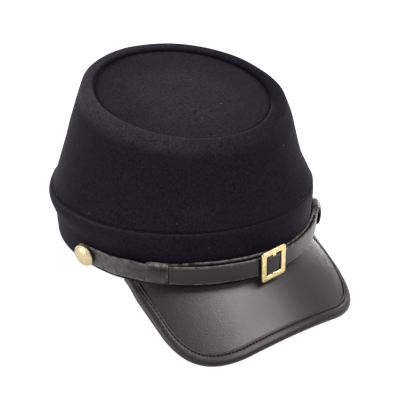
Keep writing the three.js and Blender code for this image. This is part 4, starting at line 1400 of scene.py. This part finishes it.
def brass_button(degrees):
    bm = bmesh.new()
    back = STRAP_LEATHER / 2 + GAP + BUTTON_STAND
    shank_end = -UNDER_BUTTON + 2 * GAP
    profile = [(row["radius"], back + row["rise"]) for row in BUTTON_ROWS]
    profile += [(SHANK_RADIUS, shank_end), (0.0, shank_end)]
    points = [bm.verts.new((radius, 0, height)) for radius, height in profile]
    line = [bm.edges.new(pair) for pair in zip(points, points[1:])]
    full_turn = {"cent": (0, 0, 0), "axis": (0, 0, 1), "angle": 2 * pi, "steps": BUTTON_STEPS}
    bmesh.ops.spin(bm, geom=points + line, use_merge=True, **full_turn)
    bmesh.ops.remove_doubles(bm, verts=bm.verts, dist=WELD)
    worn_and_painted_light = bm.verts.layers.float.new("worn_and_painted_light")
    for v in bm.verts:
        if v.co.z < back + BUTTON_FACE_FROM:
            continue
        radius = math.hypot(v.co.x, v.co.y)
        petal_turn = ROSETTE["petals"] / 2 * math.atan2(v.co.y, v.co.x)
        petal = abs(cos(petal_turn)) ** ROSETTE["sharpness"]
        ring = within(radius, PETAL_START) * (1 - within(radius, PETAL_END))
        heart = 1 - within(radius, ROSETTE_HEART)
        v.co.z += ROSETTE["rise"] * max(petal * ring, heart)
        groove = within(radius, RIM_GROOVE_INNER) * (1 - within(radius, RIM_GROOVE_OUTER))
        v[worn_and_painted_light] = RIM_GROOVE_WEAR * groove
    sag = Matrix.Rotation(-math.copysign(BUTTON_TURN, degrees), 4, "Y")
    bmesh.ops.transform(bm, matrix=on_strap(degrees, UNDER_BUTTON) @ sag, verts=bm.verts)
    return bm


for side, degrees in (("right", -BUTTON_ANGLE), ("left", BUTTON_ANGLE)):
    button = brass_button(degrees)
    finish_piece(f"brass_button_{side}", button, BUTTON_BRASS, "brass", f"button_{side}")

# The floor, which isn't part of the cap
FLOOR_HALF = 4
FLOOR_GLOW = 0.95
FLOOR_PATCHES = {"count": 3, "detail": 2, "dark": (0.3, 0.3, 0.3, 1), "light": (0.33, 0.33, 0.33, 1)}
WHITE = (1, 1, 1, 1)


def pale_floor():
    material, tree, inputs = new_material(
        "pale_floor",
        Roughness=0.8,
        Specular_IOR_Level=0.2,
        Emission_Color=WHITE,
        Emission_Strength=FLOOR_GLOW,
    )
    patches = grained(tree, object_place(tree), FLOOR_PATCHES["count"], FLOOR_PATCHES["detail"])
    join(tree, inputs["Base Color"], tint(tree, patches, FLOOR_PATCHES["dark"], FLOOR_PATCHES["light"]))
    bm = bmesh.new()
    bmesh.ops.create_grid(bm, x_segments=1, y_segments=1, size=FLOOR_HALF)
    mesh = bpy.data.meshes.new("floor")
    bm.to_mesh(mesh)
    bm.free()
    mesh.materials.append(material)
    floor = bpy.data.objects.new("floor", mesh)
    bpy.context.scene.collection.objects.link(floor)


pale_floor()

# Soft studio light: a white room, and softboxes placed round the cap by azimuth and elevation, in degrees,
# with the front of the cap at azimuth 0 and the wearer's right at -90
ROOM_LIGHT = 0.5
AIM = Vector((0, 0, 0.06))
SOFTBOXES = [
    {"name": "softbox_top", "azimuth": 36, "elevation": 70, "distance": 1.2, "size": 0.85, "watts": 21},
    {"name": "softbox_left", "azimuth": -104, "elevation": 9, "distance": 1.1, "size": 0.8, "watts": 10},
    {"name": "softbox_right", "azimuth": 106, "elevation": 0, "distance": 1.0, "size": 0.2, "watts": 1.9},
]


def direction(azimuth, elevation):
    a, e = math.radians(azimuth), math.radians(elevation)
    return Vector((sin(a) * cos(e), -cos(a) * cos(e), sin(e)))


def studio_light():
    for box in SOFTBOXES:
        light = bpy.data.lights.new(box["name"], "AREA")
        light.energy = box["watts"]
        light.size = box["size"]
        lamp = bpy.data.objects.new(box["name"], light)
        away = direction(box["azimuth"], box["elevation"])
        lamp.location = AIM + away * box["distance"]
        lamp.rotation_euler = away.to_track_quat("Z", "Y").to_euler()
        bpy.context.scene.collection.objects.link(lamp)
    world = bpy.data.worlds.new("white_room")
    world.use_nodes = True
    room = world.node_tree.nodes["Background"].inputs
    room["Color"].default_value = WHITE
    room["Strength"].default_value = ROOM_LIGHT
    bpy.context.scene.world = world
    bpy.context.scene.view_settings.view_transform = "Standard"


studio_light()

# The camera stands at the photograph's angle to the cap itself. Its shift is the picture's own framing.
VIEW = {"azimuth": -35.0, "elevation": 27.16, "distance": 733.93}
VIEW_ROLL = math.radians(-0.97)
LENS = 86.05
SENSOR = 36
SHIFT = (0.0498, 0.0522)
CLIP = (0.05, 20)


def photo_camera():
    back = direction(VIEW["azimuth"], VIEW["elevation"])
    level = direction(VIEW["azimuth"] + 90, 0)
    rise = back.cross(level)
    right = level * cos(VIEW_ROLL) + rise * sin(VIEW_ROLL)
    up = rise * cos(VIEW_ROLL) - level * sin(VIEW_ROLL)
    data = bpy.data.cameras.new("camera")
    data.lens = LENS
    data.sensor_width = SENSOR
    data.shift_x, data.shift_y = SHIFT
    data.clip_start, data.clip_end = CLIP
    camera = bpy.data.objects.new("camera", data)
    place = Matrix.Translation(CAP_TO_ROW @ (back * VIEW["distance"]))
    camera.matrix_world = place @ REST_TURN @ Matrix((right, up, back)).transposed().to_4x4()
    bpy.context.scene.collection.objects.link(camera)
    bpy.context.scene.camera = camera


photo_camera()

bpy.context.view_layer.update()
